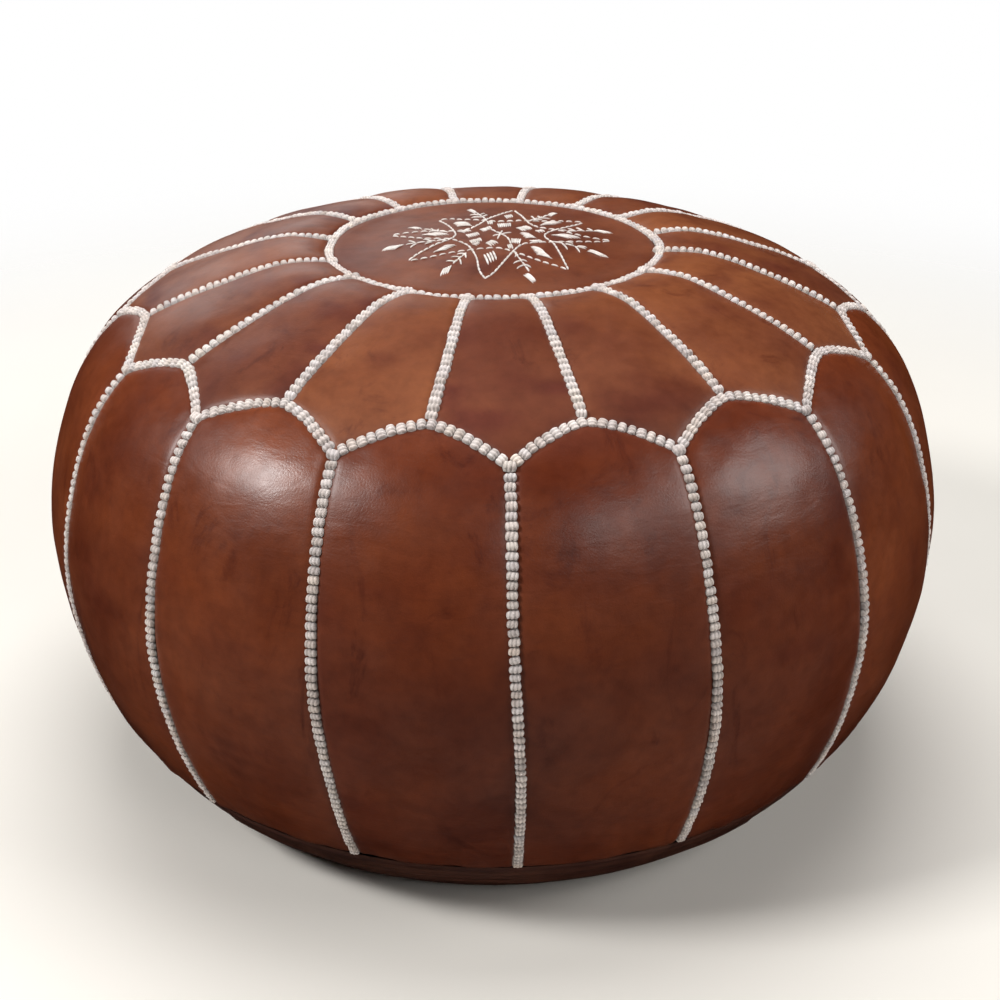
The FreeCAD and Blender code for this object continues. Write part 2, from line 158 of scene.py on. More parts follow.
# ------------------------------------------------------------------ mesh helpers
def make_mesh(name, verts, quads=None, tris=None, colors=None, smooth=True, extra=None):
    """verts in mm."""
    me = bpy.data.meshes.new(name)
    v = np.asarray(verts, float).reshape(-1, 3) / 1000.0
    loops, starts, totals = [], [], []
    pos = 0
    for f, n in ((quads, 4), (tris, 3)):
        if f is not None and len(f):
            f = np.asarray(f, np.int64).reshape(-1, n)
            loops.append(f.ravel())
            starts.append(pos + np.arange(len(f)) * n)
            totals.append(np.full(len(f), n))
            pos += f.size
    loops, starts, totals = np.concatenate(loops), np.concatenate(starts), np.concatenate(totals)
    me.vertices.add(len(v))
    me.vertices.foreach_set("co", v.astype(np.float32).ravel())
    me.loops.add(len(loops))
    me.loops.foreach_set("vertex_index", loops.astype(np.int32))
    me.polygons.add(len(starts))
    me.polygons.foreach_set("loop_start", starts.astype(np.int32))
    me.polygons.foreach_set("loop_total", totals.astype(np.int32))
    me.update(calc_edges=True)
    me.validate()
    if smooth:
        me.polygons.foreach_set("use_smooth", np.ones(len(me.polygons), bool))
    if colors is not None:
        ca = me.color_attributes.new("tone", "FLOAT_COLOR", "POINT")
        c = np.ones((len(v), 4), np.float32)
        c[:, :3] = np.asarray(colors, np.float32).reshape(-1, 3)
        ca.data.foreach_set("color", c.ravel())
    for k, val in (extra or {}).items():
        at = me.attributes.new(k, "FLOAT", "POINT")
        at.data.foreach_set("value", np.asarray(val, np.float32).ravel())
    ob = bpy.data.objects.new(name, me)
    bpy.context.scene.collection.objects.link(ob)
    return ob


def grid_quads(nu, nv, flip=False, base=0):
    i, j = np.meshgrid(np.arange(nu - 1), np.arange(nv - 1), indexing="ij")
    a = i * nv + j
    q = np.stack([a, a + nv, a + nv + 1, a + 1], -1).reshape(-1, 4)
    return (q[:, ::-1] if flip else q) + base


def sheet_solid(name, outer, inner, tone, tone_in_shaded, extra=None, flip=False):
    """A closed leather sheet from an outer and an inner grid of the same size; the inner face gets a darker copy of the
    tone as painted shade.
    """
    nu, nv = outer.shape[:2]
    n = nu * nv
    v = np.concatenate([outer.reshape(-1, 3), inner.reshape(-1, 3)])
    q = [grid_quads(nu, nv, flip), grid_quads(nu, nv, not flip, n)]
    idx = np.arange(n).reshape(nu, nv)
    loop = np.concatenate([idx[0, :], idx[1:, -1], idx[-1, -2::-1], idx[-2:0:-1, 0]])
    nxt = np.roll(loop, -1)
    side = np.stack([loop, nxt, nxt + n, loop + n], -1)
    q.append(side[:, ::-1] if not flip else side)
    # painted shade: the inner face and cut edges take a darker copy of the tone
    col = np.concatenate([tone.reshape(-1, 3), tone_in_shaded.reshape(-1, 3)])
    ex = {k: np.concatenate([a.ravel(), a.ravel()]) for k, a in (extra or {}).items()}
    return make_mesh(name, v, quads=np.concatenate(q), colors=col, extra=ex)


def spread(n, tight=1.6):
    """0 to 1 with n steps, closer together at both ends."""
    s = np.linspace(-1, 1, n)
    return 0.5 + 0.5 * np.sign(s) * (1 - (1 - np.abs(s)) ** tight) / 1.0


# ------------------------------------------------------------------ leather: shape of one panel
LEATHER = 1.4
EDGE = 0.35            # half gap between two panels, under the braid
DIP = 1.9              # how deep an edge is drawn in under its braid
FOOT_DIP = 1.1         # the same at the plain seam of the base


def rise(x, width=6.0):
    s = np.clip(x / width, 0, 1)
    return 1 - (1 - s) ** 2.6


def relief(p, x_side, y_end, t, seed):
    """Lumps of the stuffing and puckers that the stitches pull into the leather, in mm."""
    lumps = 1.15 * fbm(p, 95.0, 3 + seed, 2) + 0.62 * fbm(p, 38.0, 23, 2)
    near = np.exp(-x_side / 8.5)
    near_end = np.exp(-y_end / 8.5)
    a = np.stack([p[..., 0] * 0.55, p[..., 1] * 0.55, p[..., 2]], -1)
    pucker = noise(a, 6.4, 61) + 0.6 * noise(a, 11.0, 67)
    around = noise(p, 6.8, 71) + 0.6 * noise(p, 12.0, 73)
    soft = 0.24 * fbm(p * np.array([1, 1, 0.5]), 17.0, 91, 2)
    return lumps + 0.42 * pucker * near * (1 - near_end * 0.5) + 0.42 * around * near_end + soft


def tones(p, phi, t, warm, painted_shade, x_edge, streaky=1.6):
    """Dye tone of the leather, as a linear multiplier round the middle tone, with painted shade on top: a narrow dark
    band along the seams, and the darkening passed in by the caller.
    """
    big = fbm(p, 70.0, 201, 3)
    mid = fbm(p * np.array([1, 1, 0.7]), 26.0, 211, 3)
    arc = np.radians(phi) * 190.0
    along = np.stack([arc / 4.6, p[..., 2] * 0.9 + np.hypot(p[..., 0], p[..., 1]) * 0.9, 0 * arc + 40.0 * warm], -1)
    streak = noise(along, 9.0, 221) * 0.6 + noise(along, 4.3, 223) * 0.4
    k = warm + 0.26 * big + 0.17 * mid - 0.36 * np.clip(streak - 0.10, 0, 1) * streaky
    k = np.clip(k, 0, 1)[..., None]
    plum = np.array([0.56, 0.44, 0.58])
    tan = np.array([1.32, 1.48, 1.22])
    c = plum * (1 - k) + tan * k
    # painted shade: darkening passed in by the caller, towards the bottom of the side panels and over the base
    c = c * (1 - np.array([0.30, 0.40, 0.40]) * painted_shade)
    # painted shade: a narrow dark band along every seam, beside the braids
    edge = 1.0 - 0.16 * np.exp(-x_edge / 1.8)[..., None]
    return c * edge


UPPER_WARM = [0.54, 0.36, 0.70, 0.32, 0.50, 0.56, 0.66, 0.42, 0.66, 0.36, 0.55, 0.45, 0.62, 0.40, 0.52, 0.62]
SIDE_WARM = [0.58, 0.60, 0.34, 0.46, 0.42, 0.64, 0.64, 0.62, 0.40, 0.56, 0.46, 0.52, 0.38, 0.60, 0.50, 0.56]
leather_pieces = []


def upper_panel(i):
    nu, nv = 45, 51
    u = spread(nu, 1.9)[:, None] * 2 - 1          # -1 left seam, 1 right seam
    v = spread(nv, 1.7)[None, :]
    w = np.abs(u)
    t_in = T_RIM - math.degrees(EDGE / 187.0)
    t_out = T_VALLEY + (T_PEAK - T_VALLEY) * arch(w) + math.degrees(EDGE * 1.2 / 245.0)
    t = lerp(t_in, t_out, v)
    phi_m = lerp((wrap(RIM_PHI, i) + wrap(RIM_PHI, i + 1)) / 2, wrap(VALLEY_PHI, i), v)
    r = env(t)[0]
    gap = np.degrees(EDGE / np.maximum(r, 1))
    phi_l = lerp(wrap(RIM_PHI, i), wrap(PEAK_PHI, i), v) + gap
    phi_r = lerp(wrap(RIM_PHI, i + 1), wrap(PEAK_PHI, i + 1), v) - gap
    phi = np.where(u < 0, lerp(phi_m, phi_l, w), lerp(phi_m, phi_r, w))
    half = np.radians(np.where(u < 0, phi_m - phi_l, phi_r - phi_m)) * r
    x = half * (1 - w)
    y_in, y_out = 130.0 * v + 0 * u, (112.0 + 16 * (1 - w)) * (1 - v)
    y = np.minimum(y_in, y_out)
    puff = 1.7 * (1 - w**2.2) * np.sin(np.pi * np.clip(v, 0, 1)) ** 0.6
    p0 = place(t, phi, 0.0)
    d = -DIP + DIP * rise(x) * rise(y_in) * rise(y_out) + puff
    d = d + relief(p0, x, y, t, 0) * rise(np.minimum(x, y), 14.0) ** 0.6
    outer, inner = place(t, phi, d), place(t, phi, d - LEATHER)
    tone = tones(p0, phi, t, UPPER_WARM[i % N], np.zeros_like(x)[..., None], np.minimum(x, y))
    # painted shade: inner face at half tone
    ob = sheet_solid("leather_upper_%02d" % (i + 1), outer, inner, tone, tone * 0.5, {"rub": rise(np.minimum(x, y), 22.0)})
    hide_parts("upper_panel_%02d" % (i + 1))
    leather_pieces.append(ob)
    return ob


def side_panel(i):
    nu, nv = 51, 97
    u = spread(nu, 1.9)[:, None] * 2 - 1
    v = spread(nv, 1.45)[None, :]
    w = 1 - np.abs(u)
    t_top = T_VALLEY + (T_PEAK - T_VALLEY) * arch(w) - math.degrees(EDGE * 1.2 / 245.0)
    t = lerp(t_top, T_BASE + math.degrees(EDGE / 270.0), v)
    r = env(t)[0]
    gap = np.degrees(EDGE / np.maximum(r, 1))
    phi_m = lerp(wrap(PEAK_PHI, i + 1), (wrap(BASE_PHI, i) + wrap(BASE_PHI, i + 1)) / 2, v)
    phi_l = lerp(wrap(VALLEY_PHI, i), wrap(BASE_PHI, i), v) + gap
    phi_r = lerp(wrap(VALLEY_PHI, i + 1), wrap(BASE_PHI, i + 1), v) - gap
    phi = np.where(u < 0, lerp(phi_m, phi_l, np.abs(u)), lerp(phi_m, phi_r, np.abs(u)))
    half = np.radians(np.where(u < 0, phi_m - phi_l, phi_r - phi_m)) * r
    x = half * w
    length = 236.0
    y_in, y_out = length * v + 0 * u, length * (1 - v) + 0 * u
    y = np.minimum(y_in, y_out)
    puff = 2.3 * (1 - np.abs(u) ** 2.2) * np.clip(np.sin(np.pi * (0.02 + 0.96 * v)), 0, 1) ** 0.6
    p0 = place(t, phi, 0.0)
    d = -DIP + DIP * rise(x) * rise(y_in) + puff - FOOT_DIP * (1 - rise(y_out, 5.0)) * rise(x)
    d = d + relief(p0, x, y, t, 0) * rise(np.minimum(x, y), 14.0) ** 0.6
    # short folds that the base seam gathers into the foot of the panel
    a = np.radians(phi) * 250.0
    fold = noise(np.stack([a, 0 * a + i * 31.0, t * 0.6], -1), 9.0, 131)
    d = d + 0.9 * fold * np.exp(-y_out / 16.0) * rise(x, 6.0)
    outer, inner = place(t, phi, d), place(t, phi, d - LEATHER)
    # painted shade: the side panels darken towards the bottom, where they turn down towards the floor
    bottom_shade = np.clip((5.0 - t) / 34.0, 0, 1)[..., None] + 0 * u[..., None]
    tone = tones(p0, phi, t, SIDE_WARM[i % N], 0.8 * bottom_shade, np.minimum(x, y), 0.7)
    # painted shade: inner face at half tone
    ob = sheet_solid("leather_side_%02d" % (i + 1), outer, inner, tone, tone * 0.5, {"rub": rise(np.minimum(x, y), 22.0)})
    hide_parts("side_panel_%02d" % (i + 1))
    leather_pieces.append(ob)
    return ob


# ------------------------------------------------------------------ the medallion
def medallion_height(r, x=None, y=None):
    """Height (mm) of the medallion's surface at radius r."""
    r = np.asarray(r, float)
    t = np.interp(r, TR[::-1], TT[::-1])      # radius falls as t rises on the top
    z = np.interp(t, TT, TZ)
    edge = 97.3
    return z + 0.9 - (DIP + 0.9) * (1 - rise(edge - r, 9.0))


def build_medallion():
    nr, na = 60, 220
    edge = 97.3
    s = np.linspace(0, 1, nr) ** 0.8
    rr = edge * (1 - (1 - s) ** 1.25)
    rr[0] = 0.0
    a = np.linspace(0, 2 * np.pi, na, endpoint=False)
    R, A = np.meshgrid(rr[1:], a, indexing="ij")
    X, Y = R * np.sin(A), -R * np.cos(A)
    P = np.stack([X, Y, 0 * X + 300], -1)
    lump = (0.8 * fbm(P, 60.0, 301, 2) + 0.30 * fbm(P, 22.0, 307, 2)) * rise(edge - R, 25.0)
    puck = 0.30 * noise(np.stack([A * 60.0, 0 * A, 0 * A], -1), 6.5, 311) * np.exp(-(edge - R) / 7.0) * rise(edge - R, 5.0)
    Z = medallion_height(R) + lump + puck
    top = np.stack([X, Y, Z], -1)
    n1 = (nr - 1) * na
    centre = np.array([[0, 0, medallion_height(0.0) + lump[0].mean()]])
    verts = np.concatenate([top.reshape(-1, 3), centre, (top - [0, 0, LEATHER]).reshape(-1, 3), centre - [0, 0, LEATHER]])
    i, j = np.meshgrid(np.arange(nr - 2), np.arange(na), indexing="ij")
    jn = (j + 1) % na
    q = np.stack([i * na + j, (i + 1) * na + j, (i + 1) * na + jn, i * na + jn], -1).reshape(-1, 4)
    c0 = n1
    off = n1 + 1
    j = np.arange(na)
    jn = (j + 1) % na
    t_top = np.stack([0 * j + c0, j, jn], -1)
    wall = np.stack([(nr - 2) * na + j, (nr - 2) * na + j + off, (nr - 2) * na + jn + off, (nr - 2) * na + jn], -1)
    quads = np.concatenate([q, q[:, ::-1] + off, wall])
    tris = np.concatenate([t_top, t_top[:, ::-1] + off])
    d_edge = edge - R
    tone = tones(P, A, 0, 0.46, np.zeros_like(R)[..., None], d_edge)
    mid = tone[0].mean(0, keepdims=True)
    # painted shade: the underside copy of the medallion at half tone
    col = np.concatenate([tone.reshape(-1, 3), mid, tone.reshape(-1, 3) * 0.5, mid * 0.5])
    rub = np.concatenate([rise(d_edge, 22.0).ravel(), [1.0], rise(d_edge, 22.0).ravel(), [1.0]])
    ob = make_mesh("leather_medallion", verts, quads=quads, tris=tris, colors=col, extra={"rub": rub})
    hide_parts("medallion")
    leather_pieces.append(ob)
    surf = {"R": rr[1:], "A": a, "Z": Z}
    return surf


def top_z(surf, x, y):
    """Height of the finished medallion under points x, y (mm)."""
    r = np.hypot(x, y)
    a = np.mod(np.arctan2(x, -y), 2 * np.pi)
    na = len(surf["A"])
    fa = a / (2 * np.pi) * na
    j = np.floor(fa).astype(int)
    fj = fa - j
    i = np.clip(np.searchsorted(surf["R"], r) - 1, 0, len(surf["R"]) - 2)
    fi = np.clip((r - surf["R"][i]) / (surf["R"][i + 1] - surf["R"][i]), 0, 1)
    Z = surf["Z"]
    j0, j1 = j % na, (j + 1) % na
    return ((Z[i, j0] * (1 - fj) + Z[i, j1] * fj) * (1 - fi) + (Z[i + 1, j0] * (1 - fj) + Z[i + 1, j1] * fj) * fi)


# ------------------------------------------------------------------ the base, in two halves either side of the zip
def base_profile():
    t = np.array([T_BASE - 0.08, -26.8, -27.4, -28.2, -29.2, -30.5, -32.0, -33.5, -35.0])
    y = (t[0] - t) * math.radians(1) * 272.0
    r, z = env(t)
    nr, nz = nrm(t)
    d = -FOOT_DIP + FOOT_DIP * rise(y, 5.0)
    pts = np.stack([r + nr * d, z + nz * d], -1)
    more = np.array([[212.5, 6.3], [205.5, 2.0], [199.5, 0.35], [196.0, 0.0], [190.0, 0.0], [184.0, 0.0], [178.0, 0.0],
                     [173.0, 0.0]])
    s = np.linspace(0, 1, 9)[1:]
    ramp = np.stack([lerp(RING_IN, DISH_R, s), DISH_Z * (0.5 - 0.5 * np.cos(np.pi * s))], -1)
    flat = np.stack([np.array([138.0, 120, 100, 80, 60, 40, 22, 10, 3.0]), np.full(9, DISH_Z)], -1)
    pts = np.concatenate([pts, more, ramp, flat])
    seg = np.concatenate([[0], np.cumsum(np.hypot(*np.diff(pts, axis=0).T))])
    s = np.concatenate([np.arange(0, 90, 1.5), np.arange(90, seg[-1], 3.2), [seg[-1]]])
    return np.stack([np.interp(s, seg, pts[:, 0]), np.interp(s, seg, pts[:, 1])], -1), s


def build_base(sign, node):
    prof, s = base_profile()
    na = 221
    r0 = prof[:, 0][:, None]
    # an edge that stays clear of the middle line: y >= gap everywhere, and round the zip window
    a = np.linspace(0, np.pi, na)[None, :]
    X = r0 * np.cos(a)
    Yc = r0 * np.sin(a)
    win = 5.6 + 0 * X
    soft = np.clip((ZIP_HALF + 1.5 - np.abs(X)) / 3.0, 0, 1)
    y_min = lerp(0.45, win, soft * soft * (3 - 2 * soft))
    span = np.maximum(r0, 8.0)
    Y = y_min + Yc * (1 - y_min / span)
    Z = prof[:, 1][:, None] + 0 * X
    P = np.stack([X, sign * Y, Z], -1)
    ang = np.arctan2(X, -sign * Y)
    edge = np.clip((Z - 1.0) / 10.0, 0, 1) * (r0 > 198)
    up = np.clip(s / 40.0, 0, 1)[:, None]
    # creases that run round the rolled edge, and gathers under the seam
    crease = noise(np.stack([ang * 55.0, 0 * ang, s[:, None] * 5.2 + 2.0 * noise(P, 40.0, 401)], -1), 17.0, 405)
    gather = noise(np.stack([ang * 240.0, 0 * ang, s[:, None] * 0.5 + 0 * ang], -1), 8.0, 409)
    lump = fbm(P, 45.0, 411, 2)
    dn = edge * (0.9 * crease * np.sin(np.pi * np.clip(up, 0, 1)) + 0.7 * gather * np.exp(-s[:, None] / 12.0) + 0.9 * lump) - 0.4 * edge
    rad = np.stack([np.sin(ang), -np.cos(ang)], -1)
    slope = np.gradient(prof[:, 1], s)[:, None]
    nr, nz = -slope, np.gradient(prof[:, 0], s)[:, None]
    # lift of the raised middle: it never goes lower than its line
    inner = (r0 < 168)
    wav = 0.5 * np.abs(fbm(P, 30.0, 421, 2)) * inner * np.clip((Y - 8) / 20.0, 0, 1)
    outer = P.copy()
    outer[..., 0] += rad[..., 0] * nr * dn
    outer[..., 1] += rad[..., 1] * nr * dn
    outer[..., 2] += nz * dn + wav
    outer[..., 2] = np.maximum(outer[..., 2], 0.0)
    innerp = outer.copy()
    innerp[..., 0] -= rad[..., 0] * nr * LEATHER * (r0 > 190)
    innerp[..., 1] -= rad[..., 1] * nr * LEATHER * (r0 > 190)
    innerp[..., 2] += np.where(r0 > 190, np.abs(nz) * LEATHER, LEATHER)
    # painted shade: the whole base is darkened by 0.35 for the shadow at the foot of the pouf
    tone = tones(P, ang, 0, 0.30, np.full_like(X, 0.35)[..., None], s[:, None] + 0 * X)
    # painted shade: inner face at 0.6 of the tone
    ob = sheet_solid("leather_" + node, outer, innerp, tone, tone * 0.6,
                     {"rub": rise(s[:, None] + 0 * X, 22.0)}, flip=(sign > 0))
    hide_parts(node)
    leather_pieces.append(ob)


# ------------------------------------------------------------------ braid
def bead_template(na=7, nb=16, lobes=3):
    """One stitch block: a rounded pillow, a along the seam, b across it, with thread strands side by side along it."""
    a = np.linspace(-1, 1, na)[:, None]
    b = np.linspace(-1, 1, nb)[None, :]
    A, B = np.broadcast_arrays(a, b)
    # square grid on to a rounded square
    e = 0.30
    ax = A * np.sqrt(np.clip(1 - e * B**2, 0, 1)) / math.sqrt(1 - e * 0.0)
    bx = B * np.sqrt(np.clip(1 - e * A**2, 0, 1))
    h = (np.clip(1 - np.abs(A) ** 3.6, 0, 1) ** 0.5) * (np.clip(1 - np.abs(B) ** 4.0, 0, 1) ** 0.5)
    twist = 0.5 + 0.5 * np.cos(np.pi * lobes * (B + 1 + 0.14 * A) - np.pi)
    # grooves between the strands, deepest where one block meets the next, also painted into the colour as shade
    open_ = 0.34 + 0.66 * np.abs(A) ** 1.6
    h = h * (1 - 0.52 * open_ * (1 - twist ** 0.6))
    groove_shade = 1 - (1 - twist ** 0.55) * (0.45 + 0.55 * np.abs(A))
    return ax.ravel(), bx.ravel(), h.ravel(), groove_shade.ravel(), na, nb


def path_rows(fn, pitch_fn, start_gap, end_gap, n_fine=400):
    """Rows along a seam path fn(s in 0..1) -> (t, phi): their places, pitch, direction."""
    s = np.linspace(0, 1, n_fine)
    t, phi = fn(s)
    p = place(t, phi, 0.0)
    L = np.concatenate([[0], np.cumsum(np.linalg.norm(np.diff(p, axis=0), axis=1))])
    pos, at = [], start_gap
    while at < L[-1] - end_gap:
        pitch = pitch_fn(at / L[-1])
        pos.append((at + pitch / 2, pitch))
        at += pitch
    if not pos:
        return np.zeros(0), np.zeros(0), L[-1]
    # stretch to end exactly at the end gap
    over = (at - (L[-1] - end_gap)) / len(pos)
    fixed, at = [], start_gap
    for c, pitch in pos:
        w = pitch - over
        fixed.append((at + w / 2, w))
        at += w
    c = np.array([f[0] for f in fixed])
    w = np.array([f[1] for f in fixed])
    return np.interp(c, L, s), w, L[-1]


def braid_piece(name, node, runs, seed, knots=()):
    """runs: (fn, pitch_fn, start_gap, end_gap, width_fn, shade_fn)."""
    rng = np.random.default_rng(seed)
    ta, tb, th, tg, na, nb = bead_template()
    V, Q, C, G = [], [], [], []
    base = 0
    tq = grid_quads(na, nb)
    idx = np.arange(na * nb).reshape(na, nb)
    loop = np.concatenate([idx[0, :], idx[1:, -1], idx[-1, -2::-1], idx[-2:0:-1, 0]])
    m = len(loop)

    def add_rows(pos, nor, tan, length, width, height, sink, shade):
        nonlocal base
        side = np.cross(tan, nor)
        side /= np.linalg.norm(side, axis=1, keepdims=True)
        k = len(pos)
        rot = rng.normal(0, 0.07, k)
        tan2 = tan * np.cos(rot)[:, None] + side * np.sin(rot)[:, None]
        side2 = side * np.cos(rot)[:, None] - tan * np.sin(rot)[:, None]
        shift = rng.normal(0, 0.14, k)
        pos = pos + side * shift[:, None]
        L = length * (1 + rng.normal(0, 0.05, k))
        W = width * (1 + rng.normal(0, 0.045, k))
        H = height * (1 + rng.normal(0, 0.06, k))
        tilt = rng.normal(0, 0.10, k)
        flipb = rng.choice([-1.0, 1.0], k)
        hh = th[None, :] * H[:, None] + tilt[:, None] * ta[None, :] * th[None, :]
        top = (pos[:, None, :] + tan2[:, None, :] * (ta[None, :] * L[:, None] * 0.5)[..., None]
               + side2[:, None, :] * (tb[None, :] * flipb[:, None] * W[:, None] * 0.5)[..., None]
               + nor[:, None, :] * (hh - sink)[..., None])
        bot = (pos[:, None, :] + tan2[:, None, :] * (ta[None, loop] * L[:, None] * 0.36)[..., None]
               + side2[:, None, :] * (tb[None, loop] * flipb[:, None] * W[:, None] * 0.38)[..., None]
               - nor[:, None, :] * (sink + 1.5))
        cb = pos[:, None, :] - nor[:, None, :] * (sink + 1.6)
        allv = np.concatenate([top, bot, cb], 1)
        nv = allv.shape[1]
        V.append(allv.reshape(-1, 3))
        sh = (shade * (1 + rng.normal(0, 0.07, k)))[:, None]
        warm = rng.normal(0, 1, k)[:, None]
        # painted shade: each block darker towards its foot and in its grooves
        depth_shade = np.clip(th * 1.1, 0, 1)[None, :]
        c = 1.12 * sh * (0.52 + 0.48 * depth_shade) * (0.52 + 0.48 * tg[None, :])
        col = np.stack([c * (1 + 0.012 * warm), c, c * (1 - 0.02 * warm)], -1)
        # painted shade: the walls and underside of each block at under half tone
        bottom_shade_col = np.broadcast_to((sh * 0.45)[..., None], (k, m + 1, 3))
        C.append(np.concatenate([col, bottom_shade_col], 1).reshape(-1, 3))
        st = base + np.arange(k)[:, None, None] * nv
        mirror = flipb < 0
        q = np.broadcast_to(tq[None], (k,) + tq.shape).copy()
        nxt = np.roll(loop, -1)
        nn = na * nb
        li = np.arange(m)
        lj = np.roll(li, -1)
        wall = np.stack([loop, nn + li, nn + lj, nxt], -1)
        q = np.concatenate([q, np.broadcast_to(wall[None], (k,) + wall.shape)], 1)
        cap = np.stack([nn + li, nn + m + 0 * li, nn + lj], -1)
        tri = np.broadcast_to(cap[None], (k,) + cap.shape).copy()
        q[mirror] = q[mirror][..., ::-1]
        tri[mirror] = tri[mirror][..., ::-1]
        Q.append((q + st).reshape(-1, 4))
        T3.append((tri + st).reshape(-1, 3))
        base += k * nv

    T3 = []
    for fn, pitch_fn, g0, g1, width_fn, shade_fn in runs:
        s, w, total = path_rows(fn, pitch_fn, g0, g1)
        if not len(s):
            continue
        t, phi = fn(s)
        t2, phi2 = fn(np.clip(s + 0.002, 0, 1))
        t1, phi1 = fn(np.clip(s - 0.002, 0, 1))
        pos = place(t, phi, 0.0)
        nor = normal_at(t, phi)
        tan = place(t2, phi2, 0.0) - place(t1, phi1, 0.0)
        tan /= np.linalg.norm(tan, axis=1, keepdims=True)
        width = width_fn(s)
        add_rows(pos, nor, tan, w * 1.04, width, 0.43 * width, 0.95, shade_fn(s))
        # the cord that the blocks are stitched over, coloured dark as painted shade between the blocks
        rad_s = np.linspace(s[0], s[-1], max(int(total / 4.0), 6))
        tc, pc = fn(rad_s)
        cpos = place(tc, pc, -1.6)
        cn = normal_at(tc, pc)
        ct = np.gradient(cpos, axis=0)
        ct /= np.linalg.norm(ct, axis=1, keepdims=True)
        cs = np.cross(ct, cn)
        ww = width_fn(rad_s) * 0.40
        ring = np.linspace(0, 2 * np.pi, 9)[:-1]
        vv = (cpos[:, None, :] + cs[:, None, :] * (np.cos(ring)[None, :] * ww[:, None])[..., None]
              + cn[:, None, :] * (np.sin(ring)[None, :] * 1.5)[..., None])
        k = len(cpos)
        V.append(np.concatenate([vv.reshape(-1, 3), cpos[:1] - ct[:1] * 1.0, cpos[-1:] + ct[-1:] * 1.0]))
        # painted shade: the cord at 0.30 of the thread colour
        C.append(np.full((k * 8 + 2, 3), 0.30))
        i, j = np.meshgrid(np.arange(k - 1), np.arange(8), indexing="ij")
        jn = (j + 1) % 8
        Q.append(np.stack([i * 8 + j, i * 8 + jn, (i + 1) * 8 + jn, (i + 1) * 8 + j], -1).reshape(-1, 4) + base)
        jj = np.arange(8)
        T3.append(np.stack([0 * jj + k * 8, (jj + 1) % 8, jj], -1) + base)
        T3.append(np.stack([0 * jj + k * 8 + 1, (k - 1) * 8 + jj, (k - 1) * 8 + (jj + 1) % 8], -1) + base)
        base += k * 8 + 2
    for t, phi, ang, size in knots:
        t, phi = np.array([t]), np.array([phi])
        pos, nor = place(t, phi, 0.25), normal_at(t, phi)
        e1 = place(t, phi + 0.2, 0.0) - place(t, phi - 0.2, 0.0)
        e1 /= np.linalg.norm(e1, axis=1, keepdims=True)
        e2 = np.cross(nor, e1)
        tan = e1 * math.cos(ang) + e2 * math.sin(ang)
        add_rows(pos, nor, tan, np.array([5.4 * size]), np.array([6.6 * size]), np.array([2.7 * size]), 0.9, np.array([0.97]))
    verts = np.concatenate(V)
    ob = make_mesh(name, verts, quads=np.concatenate(Q), tris=np.concatenate(T3), colors=np.concatenate(C))
    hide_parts(node)
    ob.data.materials.append(MAT["braid"])
    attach(ob, "root")
    return ob


# ------------------------------------------------------------------ materials
MAT = {}


def new_mat(name):
    m = bpy.data.materials.new(name)
    m.use_nodes = True
    nt = m.node_tree
    bsdf = nt.nodes["Principled BSDF"]
    return m, nt, bsdf


def node(nt, kind, **kw):
    n = nt.nodes.new(kind)
    for k, v in kw.items():
        if k in n.inputs.keys() if hasattr(n.inputs, "keys") else False:
            n.inputs[k].default_value = v
        else:
            setattr(n, k, v)
    return n


def ramp(nt, src, stops):
    r = nt.nodes.new("ShaderNodeValToRGB")
    el = r.color_ramp.elements
    while len(el) < len(stops):
        el.new(0.5)
    for e, (pos, c) in zip(el, stops):
        e.position = pos
        e.color = (*c, 1.0) if len(c) == 3 else c
    nt.links.new(src, r.inputs[0])
    return r.outputs[0]


def mix(nt, kind, fac, a, b):
    m = nt.nodes.new("ShaderNodeMix")
    m.data_type = "RGBA"
    m.blend_type = kind
    for sock, val in ((m.inputs[0], fac), (m.inputs[6], a), (m.inputs[7], b)):
        if hasattr(val, "is_output"):
            nt.links.new(val, sock)
        elif isinstance(val, tuple):
            sock.default_value = (*val, 1.0) if len(val) == 3 else val
        else:
            sock.default_value = val
    return m.outputs[2]


def math_node(nt, op, a, b=None, clamp=False):
    m = nt.nodes.new("ShaderNodeMath")
    m.operation = op
    m.use_clamp = clamp
    for sock, val in ((m.inputs[0], a), (m.inputs[1], b)):
        if val is None:
            continue
        if hasattr(val, "is_output"):
            nt.links.new(val, sock)
        else:
            sock.default_value = val
    return m.outputs[0]


def noise_tex(nt, vec, scale, detail=4.0, rough=0.55, distortion=0.0):
    n = nt.nodes.new("ShaderNodeTexNoise")
    n.inputs["Scale"].default_value = scale
    n.inputs["Detail"].default_value = detail
    n.inputs["Roughness"].default_value = rough
    n.inputs["Distortion"].default_value = distortion
    nt.links.new(vec, n.inputs["Vector"])
    return n.outputs["Fac"]


